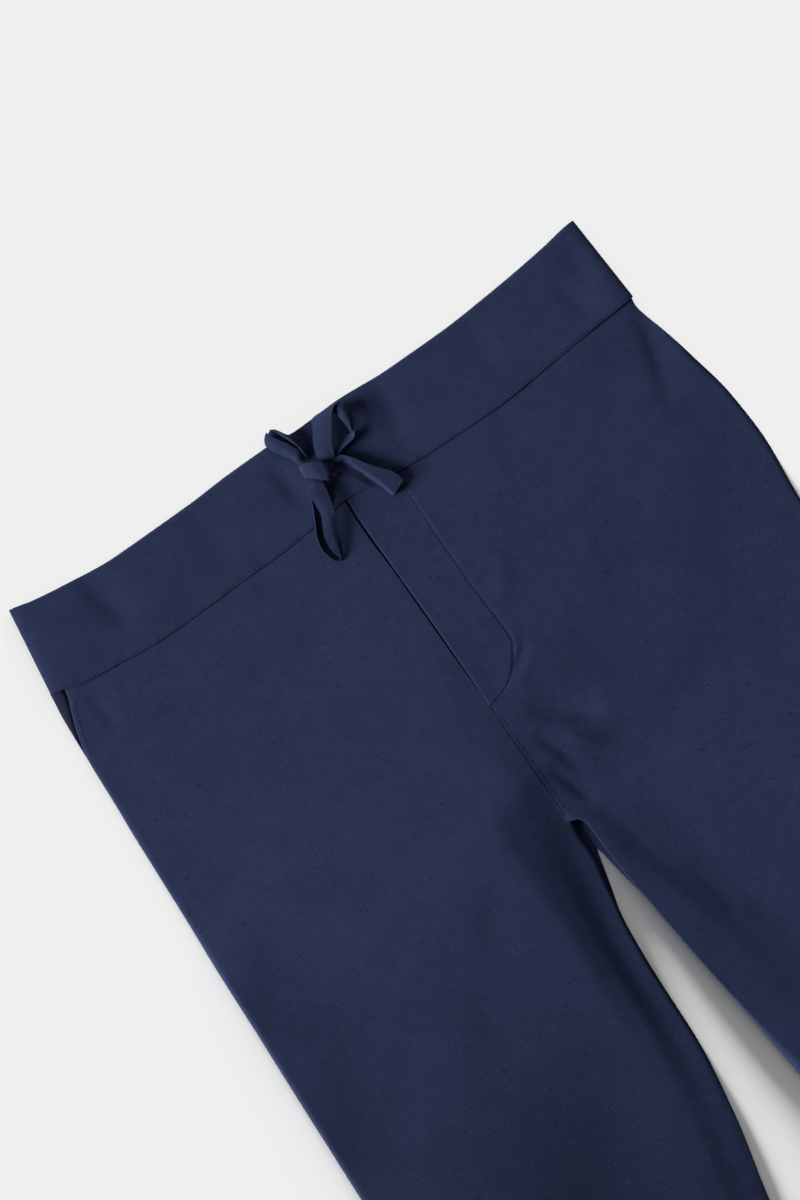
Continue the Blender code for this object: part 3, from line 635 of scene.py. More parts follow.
back = {
    "crotch": 0.341,  # the backs meet lower than the fronts
    "reach": 0.040,
    "overlap": 0.0003,
    "height": 0.00075,
    "crown": 0.0004,
    "roll": 0.0012,
    "wall": 0.0007,
    "columns": 36,
}


def backInner(innerAt, down):
    middle = middleAt(down)
    opening = np.sqrt(np.clip((down - back["crotch"]) / back["reach"], 0, 1))
    return middle + (innerAt(down) - middle) * opening


def makeBackPanels():
    rows = rowPlaces(garment["length"], *rowSteps["backs"])
    rows = np.sort(np.concatenate([rows, closeTo(back["crotch"], "backCrotch")]))
    made = []
    over = back["overlap"] / 2
    for name, start, end in (
        ("backRight", rightSideAt(rows) + wander(rows, 31), backInner(rightInnerAt, rows) + over),
        ("backLeft", backInner(leftInnerAt, rows) - over, leftSideAt(rows) + wander(rows, 33)),
    ):
        across, down = panelGrid(rows, start, end, back["columns"])
        roll = rolled(np.minimum(across - start[:, None], end[:, None] - across), back["roll"])
        made.append(thicken(name, across, down, back["height"] + back["crown"] * roll, back["wall"]))
    return made


pocketSide = {
    "rightFoot": 0.112,
    "leftFoot": 0.098,
    "under": 0.006,  # how far the right one reaches in under the mouth
    "leftWidth": 0.009,
    "height": 0.0028,
    "crown": 0.0008,
    "roll": 0.006,
    "sink": 0.0014,
    "sinkFrom": -0.004,
    "leftHeight": 0.0024,
    "wall": 0.0008,
}


def makePocketSides():
    spread = np.linspace(0, 1, 14)
    rows = np.linspace(panel["top"], pocketSide["rightFoot"], 26)
    start = rightSideAt(rows) + 0.0001
    across, down = stripGrid(rows, start, pocketMouthAt(rows) + pocketSide["under"], spread)
    height = pocketSide["height"] + pocketSide["crown"] * rolled(across - start[:, None], pocketSide["roll"])
    height -= pocketSide["sink"] * ease(across - pocketMouthAt(down), pocketSide["sinkFrom"], 0)
    right = thicken("pocketSideRight", across, down, height, pocketSide["wall"])

    rows = np.linspace(panel["top"], pocketSide["leftFoot"], 20)
    end = leftSideAt(rows) - 0.0003
    across, down = stripGrid(rows, end - pocketSide["leftWidth"], end, spread)
    height = pocketSide["leftHeight"] + 0 * across
    return right, thicken("pocketSideLeft", across, down, height, pocketSide["wall"])


def bandSurface(share, slope):
    # share runs from -1 to 1 along the waistband, slope from 0 at its upper edge to 1 at the seam
    halfFoot = np.where(share < 0, waist["halfFootRight"], waist["halfFootLeft"])
    topAcross, footAcross = waist["halfTop"] * share, halfFoot * share
    top, foot = waistTopAt(topAcross), waistSeamAt(footAcross)
    across, down = topAcross + (footAcross - topAcross) * slope, top + (foot - top) * slope
    roll = rolled((1 - np.abs(share)) * waist["halfTop"], waist["sideRoll"])
    lie = foldField(waistFolds, across, down) + clothDrift(across, down, 51) * waist["driftShare"]
    height = waist["edge"] + (waist["crown"] - waist["edge"] + lie) * roll
    height -= waist["lip"] * (1 - rolled(slope * waist["depth"], waist["lipRoll"]))
    toSeam = (1 - slope) * waist["depth"]
    height -= waist["footSink"] * np.exp(-toSeam / waist["footReach"])
    height += seamRipple(across, toSeam, *ripples["band"])
    ridgeAt, ridgeHeight, ridgeWidth = waist["ridge"]
    ridge = ridgeHeight * np.exp(-(((toSeam - ridgeAt) / ridgeWidth) ** 2))
    return across, down, height + ridge * ease(across, *waist["ridgeFrom"])


waistBehind = {"lower": 0.0008, "height": 0.0013, "crown": 0.0005, "roll": 0.0015, "wall": 0.0011}


def makeWaistbands():
    close = edgeSteps / waist["halfTop"]
    right = np.concatenate([-1 + close, np.linspace(-1 + close[-1], 0, 78)[1:-1]])
    share = np.concatenate([right, [0.0], -right[::-1]])
    folded = [0, 0.003, 0.008, 0.016, 0.03, 0.05, 0.08, 0.12]
    sewn = [0.945, 0.965, 0.98, 0.99, 0.996, 1.0]
    slope = np.concatenate([folded, np.linspace(0.16, 0.92, 20), sewn])
    slope, share = np.meshgrid(slope, share, indexing="ij")
    across, down, height = bandSurface(share, slope)
    front = thicken("waistFront", across, down, height, waist["wall"])

    behind = down + waistBehind["lower"] * (1 - slope)
    roll = rolled((1 - np.abs(share)) * waist["halfTop"], waistBehind["roll"])
    height = waistBehind["height"] + waistBehind["crown"] * roll
    return front, thicken("waistBack", across, behind, height, waistBehind["wall"])


# The tape's pieces: a row of places across it for every station along it. Each place is how far
# across the garment, how far down it, and how high.
drawstring = {
    "wall": 0.0006,
    "width": 0.0118,
    "loopUpper": (
        ((-3, 38, 10), (1.5, 39.5, 10.6), (6, 41, 10)),
        ((-1.6, 33, 12.2), (3.6, 35, 13.2), (8.6, 37.2, 12.8)),
        ((0, 27, 13), (5.2, 30, 14), (10.3, 33, 14.4)),
        ((2, 23, 13.2), (7.2, 26, 14.4), (12.4, 28.9, 14.9)),
        ((4.6, 19, 13.2), (9.8, 22, 14.6), (15.2, 24.8, 15.2)),
        ((7.4, 14.6, 12.8), (12.8, 17.4, 14.8), (18.4, 20.2, 15.6)),
        ((9.2, 10.8, 11.8), (15.4, 13, 14.6), (21.4, 16, 16)),
        ((12.4, 10, 10.6), (18.6, 10.6, 13.8), (24.2, 13.2, 16.4)),
        ((17, 10.4, 9.6), (23, 10.1, 12.8), (27.4, 11.4, 16.2)),
        ((21.4, 12.4, 10.6), (26.6, 11.6, 13.6), (31, 12.4, 15.2)),
        ((24, 16, 13), (28.2, 14.8, 15), (32.8, 15.4, 13.8)),
        ((24.7, 20, 14.4), (28.6, 19.6, 15.2), (33, 19.6, 13.4)),
        ((25.1, 24.6, 14.8), (28, 24.6, 15.2), (31.2, 24.4, 13.4)),
        ((25.5, 28.6, 13.8), (27.2, 28.8, 14.4), (29.2, 28.8, 13.2)),
        ((25, 31.6, 11), (26.1, 32.4, 12.2), (27.4, 33, 13.2)),
        ((21.6, 31, 8.6), (23, 33.4, 10.8), (24.6, 35.8, 13.2)),
        ((17, 30.6, 8), (18.2, 33.6, 10.2), (19.6, 36.4, 12.8)),
        ((12.4, 33, 8.2), (13.6, 35, 10), (14.8, 37.2, 12.2)),
        ((6.6, 36.6, 8.6), (7.4, 37.6, 9.8), (8, 38.8, 11.2)),
    ),
    "loopLower": (
        ((-15, 41, 10), (-10.6, 42.6, 10.4), (-6, 44, 10)),
        ((-18.4, 45.6, 12.4), (-12.8, 46.8, 13.2), (-7.2, 47.8, 12.6)),
        ((-19.4, 51, 13.4), (-14, 52, 13.6), (-8, 52.6, 13.2)),
        ((-19.5, 57, 13.2), (-14.4, 57.8, 13.9), (-9.2, 58.2, 13.6)),
        ((-20.1, 63, 13.4), (-15.4, 63.8, 14), (-10.6, 64.2, 13.6)),
        ((-22, 68, 13.4), (-17.2, 69, 13.8), (-12.4, 69.8, 13)),
        ((-24.9, 73.4, 13.2), (-20.2, 74.6, 13.5), (-15.2, 75.6, 12.4)),
        ((-27, 79.4, 12.8), (-22.6, 80.6, 12.9), (-17.8, 81.8, 11.4)),
        ((-27.6, 85.4, 12), (-23.8, 86.2, 12), (-20, 87.2, 10.4)),
        ((-27, 90, 11), (-24.6, 90.6, 10.8), (-22.2, 91.4, 9.4)),
        ((-26, 93.6, 9.4), (-25.2, 94, 9), (-24.2, 94.8, 8.2)),
        ((-27.6, 95, 9.4), (-26.6, 95.2, 7.4), (-25.2, 95.6, 7)),
        ((-31, 90.4, 11), (-29, 90.6, 7), (-25, 91, 6.6)),
        ((-32.6, 83, 11.4), (-29.8, 83.4, 6.9), (-24, 84.4, 6.6)),
        ((-30.8, 75, 11.4), (-27.6, 76, 6.9), (-20, 78, 6.6)),
        ((-27, 67, 11.2), (-24, 68.6, 7.4), (-16, 71.4, 7)),
        ((-22.8, 59, 10.8), (-19.6, 60.6, 8.2), (-12.6, 63, 7.8)),
        ((-19, 50.4, 10), (-15.6, 52, 8.6), (-9.4, 54, 8.4)),
        ((-14, 42.4, 9.4), (-11, 44, 8.9), (-6, 46, 8.7)),
    ),
    "knotWrap": (  # from the wearer's right to the left, from its upper to its lower edge
        ((-12, 33, 8.8), (-12.5, 36, 9), (-13, 39.2, 8.8)),
        ((-14.4, 31.2, 10.8), (-15, 34.8, 11.2), (-15.4, 38.6, 10.6)),
        ((-13.2, 30.6, 13.4), (-13.8, 35, 14), (-14, 39.6, 13.2)),
        ((-9.6, 31.6, 15), (-10.4, 37, 15.6), (-11, 42.2, 14.8)),
        ((-5.4, 33.4, 15.8), (-6.4, 39.6, 16.4), (-7.4, 45.8, 15.6)),
        ((-1.4, 35.6, 15.8), (-2.6, 42, 16.2), (-4.2, 48.6, 15.2)),
        ((1, 37.6, 14.8), (0.4, 43, 15), (-2.4, 49.8, 13.8)),
        ((2, 39.2, 12.4), (1.4, 43.6, 12.2), (-1.6, 49.6, 11.2)),
        ((1.6, 40, 9.6), (0.8, 43.6, 9.4), (-1.6, 48.4, 9)),
    ),
    "endUpper": (  # rolled along its free half: opening, left fold, far side, crest, outer slope
        ((-9, 29.4, 10), (-11, 29.6, 10.6), (-13.5, 30, 9.4), (-11, 29, 8.8),
         (-8, 28.4, 8.8), (-6.7, 28, 10.2), (-5.7, 27.6, 9.6), (-4.6, 27, 9)),
        ((-8.7, 23.5, 12), (-11.5, 24.6, 12.4), (-14.8, 26, 10), (-12, 24.6, 8.8),
         (-8, 23, 9.4), (-6.9, 22.4, 12.6), (-4.9, 22.6, 11), (-2.6, 22.6, 9.8)),
        ((-11.6, 15.6, 13.2), (-14.6, 17.4, 13), (-18.2, 19.4, 10), (-14, 17.4, 9),
         (-10, 15.6, 9.8), (-8.6, 15, 13.6), (-5.6, 15.8, 11.4), (-2.2, 17.2, 9.8)),
        ((-16, 8.4, 13.8), (-19.4, 9.8, 13.2), (-23.2, 11.4, 10.2), (-19, 9.4, 9),
         (-13.8, 7.4, 10), (-11.8, 6.8, 13.8), (-10.4, 8, 12), (-8.8, 10.4, 10)),
        ((-18.6, 3.4, 13.6), (-21.4, 5, 13), (-24.2, 7.4, 10.6), (-20.6, 5, 9.2),
         (-15.8, 3.4, 10), (-13.6, 3, 13.4), (-12.8, 4, 12), (-12, 5.6, 10.6)),
        ((-19.2, 1, 13), (-20.8, 2.2, 12.4), (-22.6, 4.2, 11), (-20.4, 2.8, 9.8),
         (-17.4, 1.6, 10.4), (-16.4, 0.9, 12.8), (-15.6, 1.4, 12), (-14.8, 2.6, 11)),
    ),
    "endLower": (  # lower lip, valley, and the flank that widens towards the cut
        ((-1, 44, 9), (2, 43, 8.8), (4, 42, 9.8), (5, 39.6, 10.8)),
        ((3, 47.2, 9), (7, 45, 7.6), (12, 42.4, 11.4), (11, 39.4, 12.4)),
        ((6.4, 51.6, 9.2), (12, 50, 7.6), (15.4, 47.4, 12.6), (17.8, 46.2, 12.8)),
        ((10, 57.4, 9), (16.4, 56, 7.4), (18, 55, 12.8), (22.2, 53.2, 13)),
        ((13.6, 63.4, 8.6), (18.4, 61.8, 7), (20.4, 61, 12.6), (27.6, 60.2, 12.8)),
        ((17, 69, 6.9), (20.8, 68, 6.4), (22.9, 67.4, 12), (32.8, 66.2, 12.2)),
        ((20, 75, 6.4), (23, 74.8, 6.4), (24.9, 74.2, 11.2), (35.2, 71.8, 11.4)),
        ((22.4, 79, 6.4), (24.6, 79.6, 6.6), (26.1, 79.7, 10.8), (36, 75.6, 11)),
    ),
    "nets": (  # how many places along and across each piece's mesh, and how deep its creases are
        ("loopUpper", 150, 17, 0.00012),
        ("loopLower", 170, 17, 0.00016),
        ("knotWrap", 70, 19, 0.00016),
        ("endUpper", 60, 49, 0.00012),
        ("endLower", 80, 33, 0.00012),
    ),
}


def lengthsAlong(points, axis):
    # how far along each place lies
    steps = np.linalg.norm(np.diff(points, axis=0), axis=axis)
    if steps.ndim > 1:
        steps = steps.mean(axis=1)
    return np.concatenate([[0], np.cumsum(steps)])


def tapeNet(name, alongCount, acrossCount, crease, seed):
    # a smooth sheet through the stations' places, with faint creases across it
    spread = np.linspace(0, 1, acrossCount)
    rows = []
    for station in np.array(drawstring[name], float) / 1000:
        at = lengthsAlong(station, 1)
        rows.append(smoothCurve(at / at[-1], station)(spread))
    rows = np.array(rows)
    at = lengthsAlong(rows, 2)
    net = smoothCurve(at, rows)(np.linspace(0, at[-1], alongCount))
    points = place(net[..., 0], net[..., 1], net[..., 2])
    normal = np.cross(np.gradient(points, axis=1), np.gradient(points, axis=0))
    normal /= np.linalg.norm(normal, axis=2, keepdims=True)
    along = np.linspace(0, at[-1], alongCount)[:, None] + 0 * spread
    sideways = drawstring["width"] * spread + 0 * along
    lift = softNoise(along + 0.3 * sideways, sideways * 0.6, 0.0046, seed)
    lift += 0.4 * softNoise(along, sideways, 0.0019, seed + 1)
    piece = gridMesh(name, points + normal * (crease * lift)[:, :, None])
    layer = piece.data.uv_layers.new(name="UVMap")  # in tenths of a metre
    for loop in piece.data.loops:
        row, column = divmod(loop.vertex_index, acrossCount)
        layer.data[loop.index].uv = (sideways[row, column] * 10, along[row, column] * 10)
    return piece


def makeDrawstring():
    made = []
    wall, corner = drawstring["wall"], math.radians(60)
    for net in drawstring["nets"]:
        piece = tapeNet(*net, 61 + len(made))
        reshape(piece, "SOLIDIFY", thickness=wall, offset=0)
        reshape(piece, "BEVEL", width=wall * 0.3, segments=2, limit_method="ANGLE", angle_limit=corner)
        bpy.ops.object.shade_smooth_by_angle(angle=corner)
        made.append(piece)
    return made


stitch = {
    "length": 0.0021,
    "pitch": 0.0028,
    "thick": 0.00040,
    "sides": 6,
    "above": 0.00005,
    "endings": ((0.14, 0.25, 0.8), (0.06, 0.35, 0.5)),  # how far on, how far down, how narrow
    "hem": 0.0022,  # how far each row runs from its edge or seam
    "mouth": 0.0022,
    "fly": (0.0014, 0.0008),
    "centre": 0.0018,
    "hemEnds": 0.005,  # how far short of the leg's sides
    "mouthFrom": 0.070,
    "mouthEnds": 0.008,  # how far short of the mouth's foot
    "centreEnds": (0.006, 0.008),  # how far past the fly's foot, and short of the crotch
    "bands": (  # above the seam, then from one share of the waistband's width to another, and a seed
        (0.0018, -0.985, 0.985, 86),
        (0.0052, 0.72, 0.985, 87),
    ),
}


def selectEnd(thread, way):
    shape = bmesh.from_edit_mesh(thread.data)
    for face in shape.faces:
        face.select_set(face.normal.x * way > 0.9)
    bmesh.update_edit_mesh(thread.data)


def oneStitch():
    # a short thread with rounded ends that dip into the cloth, modelled once and then copied
    deselectAll()
    bpy.ops.mesh.primitive_cylinder_add(
        vertices=stitch["sides"],
        radius=stitch["thick"] / 2,
        depth=stitch["length"] * 0.6,
        rotation=(0, math.pi / 2, 0),
    )
    thread = bpy.context.object
    bpy.ops.object.transform_apply(location=True, rotation=True, scale=True)
    bpy.ops.object.mode_set(mode="EDIT")
    for way in (-1, 1):
        bpy.ops.mesh.select_all(action="DESELECT")
        selectEnd(thread, way)
        for reach, dip, narrow in stitch["endings"]:
            move = (way * stitch["length"] * reach, 0, -stitch["thick"] * dip)
            bpy.ops.mesh.extrude_region_move(TRANSFORM_OT_translate={"value": move})
            shape = bmesh.from_edit_mesh(thread.data)
            middle = [v.co for v in shape.verts if v.select]
            centre = sum(middle, Vector()) / len(middle)
            bpy.ops.transform.resize(value=(1, narrow, narrow), center_override=centre)
    bpy.ops.object.mode_set(mode="OBJECT")
    points = np.array([v.co[:] for v in thread.data.vertices])
    faces = [tuple(face.vertices) for face in thread.data.polygons]
    bpy.data.objects.remove(thread)
    return points, faces


def stitchRow(across, down, heightAt, seed):
    # evenly along a line on the cloth, each a little off true
    pitch = stitch["pitch"]
    along = np.concatenate([[0], np.cumsum(np.hypot(np.diff(across), np.diff(down)))])
    middles = np.arange(pitch / 2, along[-1], pitch)
    middles += np.random.default_rng(seed).uniform(-0.06, 0.06, len(middles)) * pitch
    ends = []
    for shift in (-pitch * 0.36, pitch * 0.36):
        x, y = (np.interp(middles + shift, along, line) for line in (across, down))
        ends.append(place(x, y, heightAt(x, y) + stitch["above"]))
    return (ends[0] + ends[1]) / 2, ends[1] - ends[0]


def unit(ways):
    return ways / np.linalg.norm(ways, axis=1, keepdims=True)


def joinStitches(name, rows):
    points, faces = oneStitch()
    middles = np.concatenate([row[0] for row in rows])
    forward = unit(np.concatenate([row[1] for row in rows]))
    sideways = unit(np.cross([0, 0, 1], forward))
    upward = np.cross(forward, sideways)
    turned = sum(
        points[None, :, axis, None] * way[:, None] for axis, way in enumerate((forward, sideways, upward))
    )
    everyFace = []
    for i in range(len(middles)):
        everyFace += [tuple(i * len(points) + corner for corner in face) for face in faces]
    piece = addPiece(name, middles[:, None] + turned, everyFace)
    piece.data.shade_smooth()
    return piece


def bandRow(toSeam, first, last, seed):
    share = np.linspace(first, last, 400)
    across, down, height = bandSurface(share, np.full(400, 1 - toSeam / waist["depth"]))
    return stitchRow(across, down, lambda x, y: np.interp(x, across, height), seed)


def makeStitches():
    hemDown = np.full(200, garment["length"] - garment["hem"] + stitch["hem"])
    legs = []
    for startAt, endAt, seed in ((rightSideAt, rightInnerAt, 81), (leftInnerAt, leftSideAt, 82)):
        start, end = startAt(hemDown[0]) + stitch["hemEnds"], endAt(hemDown[0]) - stitch["hemEnds"]
        across = np.linspace(start, end, 200)
        legs.append(stitchRow(across, hemDown, frontHeight, seed))

    mouthDown = np.linspace(stitch["mouthFrom"], pocket["to"] - stitch["mouthEnds"], 60)
    mouth = stitchRow(pocketMouthAt(mouthDown) + stitch["mouth"], mouthDown, mouthHeight, 83)

    edge = np.array(fly["edge"][1:])[:, ::-1] / 1000
    last = len(edge) - 1
    across, down = smoothCurve(range(last + 1), edge)(np.linspace(0, last, 300)).T
    flyRow = stitchRow(across - stitch["fly"][0], down - stitch["fly"][1], lapHeight, 84)
    past, short = stitch["centreEnds"]
    centreDown = np.linspace(fly["foot"] + past, garment["crotch"] - short, 80)
    centre = stitchRow(rightInnerAt(centreDown) + stitch["centre"], centreDown, frontHeight, 85)

    return (
        joinStitches("stitchesRight", (legs[0], mouth)),
        joinStitches("stitchesLeft", (legs[1], flyRow, centre)),
        joinStitches("stitchesWaist", [bandRow(*row) for row in stitch["bands"]]),
    )


class Wire:
    # an output of a shader node: arithmetic on it adds Math nodes
    def __init__(self, tree, socket=None):
        self.tree = tree
        self.socket = socket

    def node(self, kind, settings=None, inputs=None, output=0):
        made = self.tree.nodes.new("ShaderNode" + kind)
        for name, value in (settings or {}).items():
            setattr(made, name, value)
        for name, value in (inputs or {}).items():
            if isinstance(value, Wire):
                self.tree.links.new(value.socket, made.inputs[name])
            else:
                made.inputs[name].default_value = value
        return Wire(self.tree, made.outputs[output])

    def math(self, operation, *values):
        return self.node("Math", {"operation": operation}, dict(enumerate((self,) + values)))

    def __add__(self, other):
        return self.math("ADD", other)

    def __mul__(self, other):
        return self.math("MULTIPLY", other)

    __radd__ = __add__
    __rmul__ = __mul__


cloth = {
    "navy": (0.0157, 0.0234, 0.0636, 1),
    "navyDeep": (0.0126, 0.0191, 0.0527, 1),
    "navyPale": (0.0224, 0.0305, 0.0725, 1),
    # painted shade: the drawstring tape is the garment's navy made about an eighth darker, to tone down how
    # brightly the light catches it
    "tape": (0.0139, 0.0207, 0.0560, 1),
    "inside": (0.0120, 0.0160, 0.0380, 1),
    "navySpeck": (0.0084, 0.0117, 0.0310, 1),
    # painted shade: a darker navy that the cloth is blended towards down the legs, in place of the light
    # falling off there
    "legShadeNavy": (0.0072, 0.0108, 0.0295, 1),
    "paintedShadeAlong": (0.240, -0.060),  # painted shade, from this far along the garment to this far
    "paintedShadeShare": 0.26,
    "paintedShadeAcross": (0.020, -0.110),  # and more painted shade from here to here across it
    "paintedShadeMore": 0.46,
    "finish": {
        "Roughness": 0.86,
        "Specular IOR Level": 0.12,
        "Sheen Weight": 0.05,
        "Sheen Roughness": 0.5,
        "Sheen Tint": (0.55, 0.62, 0.85, 1),
    },
    "thread": 0.00046,  # from one thread of the weave to the next
    "threadWobble": (160.0, 1.6),  # how fine, and how far
    "slubs": (14, 75.0),  # how long for their width, and how fine
    "specks": (1.5, 300.0),
    "flecks": (2.0, 330.0),
    "speckShows": (0.245, 0.185, 0.85),  # from this noise value to this one, up to this share
    "fleckShows": (0.71, 0.79, 0.70),
    "mottle": ((110.0, 3.0, 0.40), (26.0, 2.0, 0.35)),  # how fine, how detailed, how strong
    "slubMottle": 0.25,
    "mottleShows": (0.40, 0.60),
    "weaveHeight": 0.000030,
    "slubHeight": 0.00005,
    "speckHeight": 0.00005,
    "bumpStrength": 0.75,
}


def newMaterial(name, finish):
    material = bpy.data.materials.new(name)
    material.use_nodes = True
    shader = material.node_tree.nodes["Principled BSDF"]
    for socket, value in finish.items():
        shader.inputs[socket].default_value = value
    return material, material.node_tree, shader


def clothMaterial(name, base, deep, pale, uvWeave=False, weave=1.0):
    material, tree, shader = newMaterial(name, cloth["finish"])
    start = Wire(tree)
    spot = start.node("TexCoord", output="UV" if uvWeave else "Object")
    perUnit = 0.1 if uvWeave else 1.0  # the tape's own map counts tenths of a metre

    def noise(x, y, scale, detail=2.0):
        stretch = {"Vector": spot, "Scale": (x * perUnit, y * perUnit, 1)}
        mapped = start.node("Mapping", inputs=stretch)
        inputs = {"Vector": mapped, "Scale": scale, "Detail": detail, "Roughness": 0.5}
        return start.node("TexNoise", inputs=inputs)

    def ramp(value, low, high, top=1.0):
        inputs = {"Value": value, "From Min": low, "From Max": high, "To Min": 0.0, "To Max": top}
        return start.node("MapRange", inputs=inputs)

    def blend(share, first, second):
        inputs = {0: share, 6: first, 7: second}
        return start.node("Mix", {"data_type": "RGBA"}, inputs, output=2)

    def part(axis):
        return start.node("SeparateXYZ", inputs={0: spot}, output=axis)

    turns = math.pi / cloth["thread"] * perUnit
    wobble = noise(1, 1, cloth["threadWobble"][0]) * cloth["threadWobble"][1]
    threads = (part(0) * turns + wobble).math("SINE") * (part(1) * turns + wobble).math("SINE")
    long, fine = cloth["slubs"]
    slubs = noise(1, long, fine) * 0.5 + noise(long, 1, fine) * 0.5
    specks = noise(1, *cloth["specks"], detail=0.0)
    flecks = noise(1, *cloth["flecks"], detail=0.0)

    height = threads * (cloth["weaveHeight"] * weave) + slubs * cloth["slubHeight"]
    height = height + specks * cloth["speckHeight"]
    bumpInputs = {"Strength": cloth["bumpStrength"], "Distance": 1.0, "Height": height}
    bumped = start.node("Bump", inputs=bumpInputs)

    mottle = slubs * cloth["slubMottle"]
    for fine, detail, strong in cloth["mottle"]:
        mottle = mottle + noise(1, 1, fine, detail) * strong
    colour = blend(ramp(mottle, *cloth["mottleShows"]), deep, base)
    colour = blend(ramp(specks, *cloth["speckShows"]), colour, cloth["navySpeck"])
    if not uvWeave:  # painted shade: darker down the legs, and more so over the right leg, standing in for the light falling off there
        share = ramp(part(0), *cloth["paintedShadeAcross"], cloth["paintedShadeMore"]) + cloth["paintedShadeShare"]
        colour = blend(ramp(part(1), *cloth["paintedShadeAlong"]) * share, colour, cloth["legShadeNavy"])
    colour = blend(ramp(flecks, *cloth["fleckShows"]), colour, pale)
    tree.links.new(colour.socket, shader.inputs["Base Color"])
    tree.links.new(bumped.socket, shader.inputs["Normal"])
    return material


def finishPiece(piece, material):
    piece.data.materials.clear()
    piece.data.materials.append(material)
    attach(piece, "root")


def clothArea(piece):
    # half of the closed wall's surface
    return sum(face.area for face in piece.data.polygons) / 2


outerCloth = clothMaterial("navyCloth", cloth["navy"], cloth["navyDeep"], cloth["navyPale"])
innerCloth = clothMaterial("navyClothInside", cloth["inside"], cloth["inside"], cloth["navyDeep"])
thread = clothMaterial("threadNavy", cloth["navy"], cloth["navyDeep"], cloth["navyPale"])
# the tape's cloth takes that darker navy, which is painted shade
tapeCloth = clothMaterial("tapeCloth", cloth["tape"], cloth["navyDeep"], cloth["navyPale"], True, 0.6)
print("materials made")

frontRight, frontLeft = makeFrontPanels()
flyLap, flyStrip = makeFly()
backRight, backLeft = makeBackPanels()
pocketSideRight, pocketSideLeft = makePocketSides()
waistFront, waistBack = makeWaistbands()
print("panels made")
loopUpper, loopLower, knotWrap, endUpper, endLower = makeDrawstring()
print("drawstring made")
stitchesRight, stitchesLeft, stitchesWaist = makeStitches()
print("stitches made")

# Each piece, its cloth and the node it stands for, then the cut of what shows: the flat size, the flat
# area where it isn't a rectangle, how it is held, and what it lies on.
cuts = (
    (frontRight, outerCloth, "front_right", (0.262, 0.998), 0.205, "laid", ("backRight",)),
    (frontLeft, outerCloth, "front_left", (0.265, 0.998), 0.203, "laid", ("backLeft",)),
    (backRight, outerCloth, "back_right", (0.262, 0.998), 0.205, "laid", ()),
    (backLeft, outerCloth, "back_left", (0.265, 0.998), 0.203, "laid", ()),
    (flyLap, outerCloth, "fly_front", (0.038, 0.162), 0.0055, "laid", ("flyStrip",)),
    (flyStrip, innerCloth, "fly_underlap", (0.021, 0.149), None, "laid", ("backRight",)),
    (pocketSideRight, innerCloth, "pocket_side_right", (0.024, 0.047), 0.0007, "laid", ("backRight",)),
    (pocketSideLeft, innerCloth, "pocket_side_left", (0.010, 0.033), None, "laid", ("backLeft",)),
    (waistFront, outerCloth, "waistband_front", (0.455, 0.062), None, "laid", ("waistBack",)),
    (waistBack, outerCloth, "waistband_back", (0.455, 0.062), None, "laid", ()),
    (loopUpper, tapeCloth, "drawstring_loop_upper", (0.0118, 0.080), None, "folded", ("waistFront",)),
    (loopLower, tapeCloth, "drawstring_loop_lower", (0.0118, 0.110), None, "folded", ("waistFront",)),
    (knotWrap, tapeCloth, "drawstring_knot", (0.0140, 0.030), None, "folded", ("waistFront",)),
    (endUpper, tapeCloth, "drawstring_end_upper", (0.0240, 0.030), None, "folded", ("waistFront",)),
    (endLower, tapeCloth, "drawstring_end_lower", (0.0240, 0.044), None, "folded", ("waistFront",)),
)
for piece, material, node, flat, area, held, under in cuts:
    finishPiece(piece, material)
    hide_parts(node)
for stitches in (stitchesRight, stitchesLeft, stitchesWaist):
    finishPiece(stitches, thread)
for piece, material, node, flat, area, held, under in cuts:
    whole = area or flat[0] * flat[1]
    print(piece.name, "area", round(clothArea(piece), 5), "of", round(whole, 5), "m2")

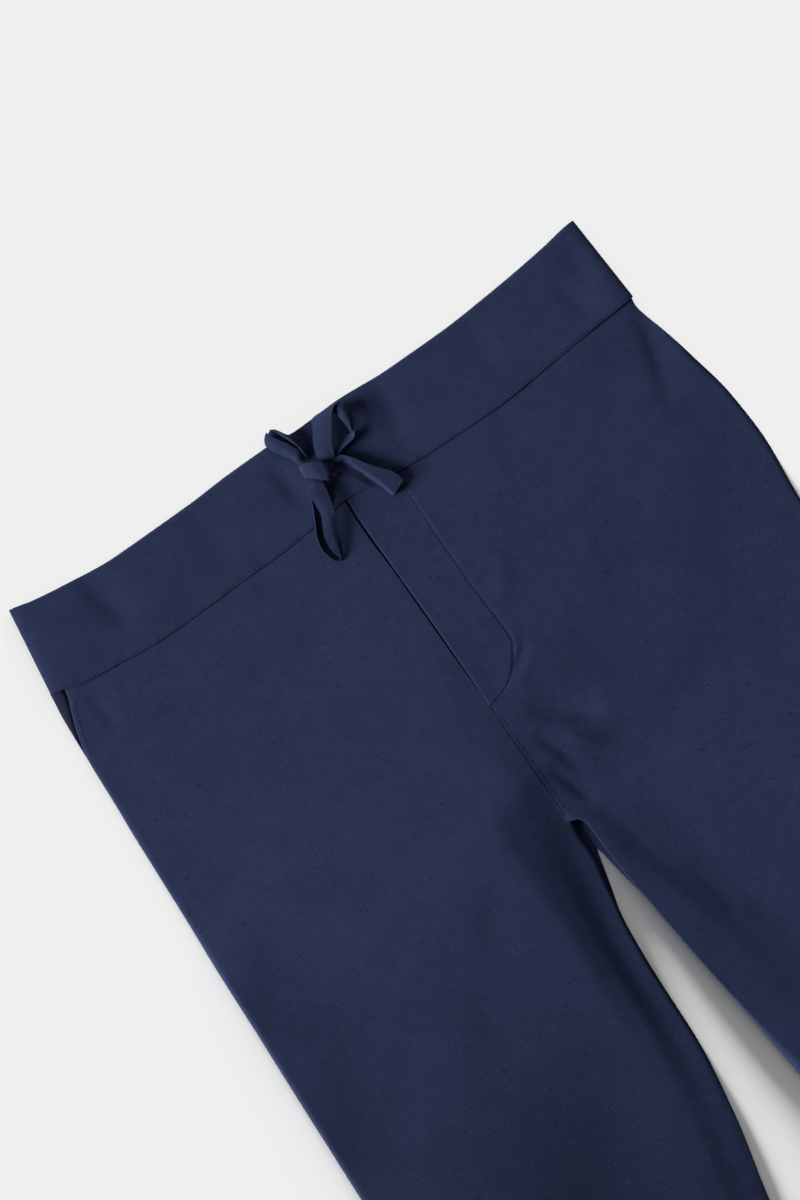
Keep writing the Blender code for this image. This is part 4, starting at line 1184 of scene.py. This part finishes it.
ground = {
    "top": -0.0004,
    "width": 8,
    "finish": {"Base Color": (0.80, 0.80, 0.80, 1), "Roughness": 1.0, "Specular IOR Level": 0.0},
}
studio = {
    "lamps": (  # where from, strength, how soft in degrees, and whether it lights the floor only
        ("key", (-2.2, 0.55, 0.92), 7.15, 30, False),
        ("side", (-0.30, 1.60, 1.00), 0.80, 40, False),
        ("floorLow", (0.06, 2.00, 0.0690), 66.0, 6.5, True),
        ("floorSoft", (0.88, 1.80, 0.81), 1.7, 100, True),
    ),
    "fillStrength": 0.10,
}
view = {"across": -0.0096, "along": 0.3925, "above": 1.822, "turn": -34.6, "lens": 85, "sensor": 36}


def makeFloor():
    deselectAll()
    bpy.ops.mesh.primitive_plane_add(size=ground["width"], location=(0, 0, ground["top"]))
    floor = bpy.context.object
    floor.name = "floor"
    floor.data.materials.append(newMaterial("paleFloor", ground["finish"])[0])
    return floor


def floorSet(floor, name, state):
    # the lamps that use this set light the floor only, or all but the floor
    members = bpy.data.collections.new(name)
    members.objects.link(floor)
    members.collection_objects[0].light_linking.link_state = state
    return members


def makeLights(floor):
    world = bpy.data.worlds.new("studio")
    bpy.context.scene.world = world
    world.use_nodes = True
    background = world.node_tree.nodes["Background"]
    background.inputs["Color"].default_value = (1, 1, 1, 1)
    background.inputs["Strength"].default_value = studio["fillStrength"]
    onFloor, offFloor = floorSet(floor, "onFloor", "INCLUDE"), floorSet(floor, "offFloor", "EXCLUDE")
    for name, comesFrom, strength, softness, floorOnly in studio["lamps"]:
        lamp = bpy.data.lights.new(name, "SUN")
        lamp.energy = strength
        lamp.angle = math.radians(softness)
        holder = bpy.data.objects.new(name, lamp)
        holder.location = comesFrom
        holder.rotation_euler = (-Vector(comesFrom)).to_track_quat("-Z", "Y").to_euler()
        holder.light_linking.receiver_collection = onFloor if floorOnly else offFloor
        bpy.context.scene.collection.objects.link(holder)


def makeCamera():
    lens = bpy.data.cameras.new("camera")
    lens.lens = view["lens"]
    lens.sensor_width = view["sensor"]
    lens.clip_start = 0.05
    camera = bpy.data.objects.new("camera", lens)
    camera.location = (view["across"], view["along"], view["above"])
    camera.rotation_euler = (0, 0, math.radians(view["turn"]))
    bpy.context.scene.collection.objects.link(camera)
    bpy.context.scene.camera = camera
    bpy.context.scene.view_settings.view_transform = "Standard"


makeLights(makeFloor())
makeCamera()
print("floor, lights and camera made")
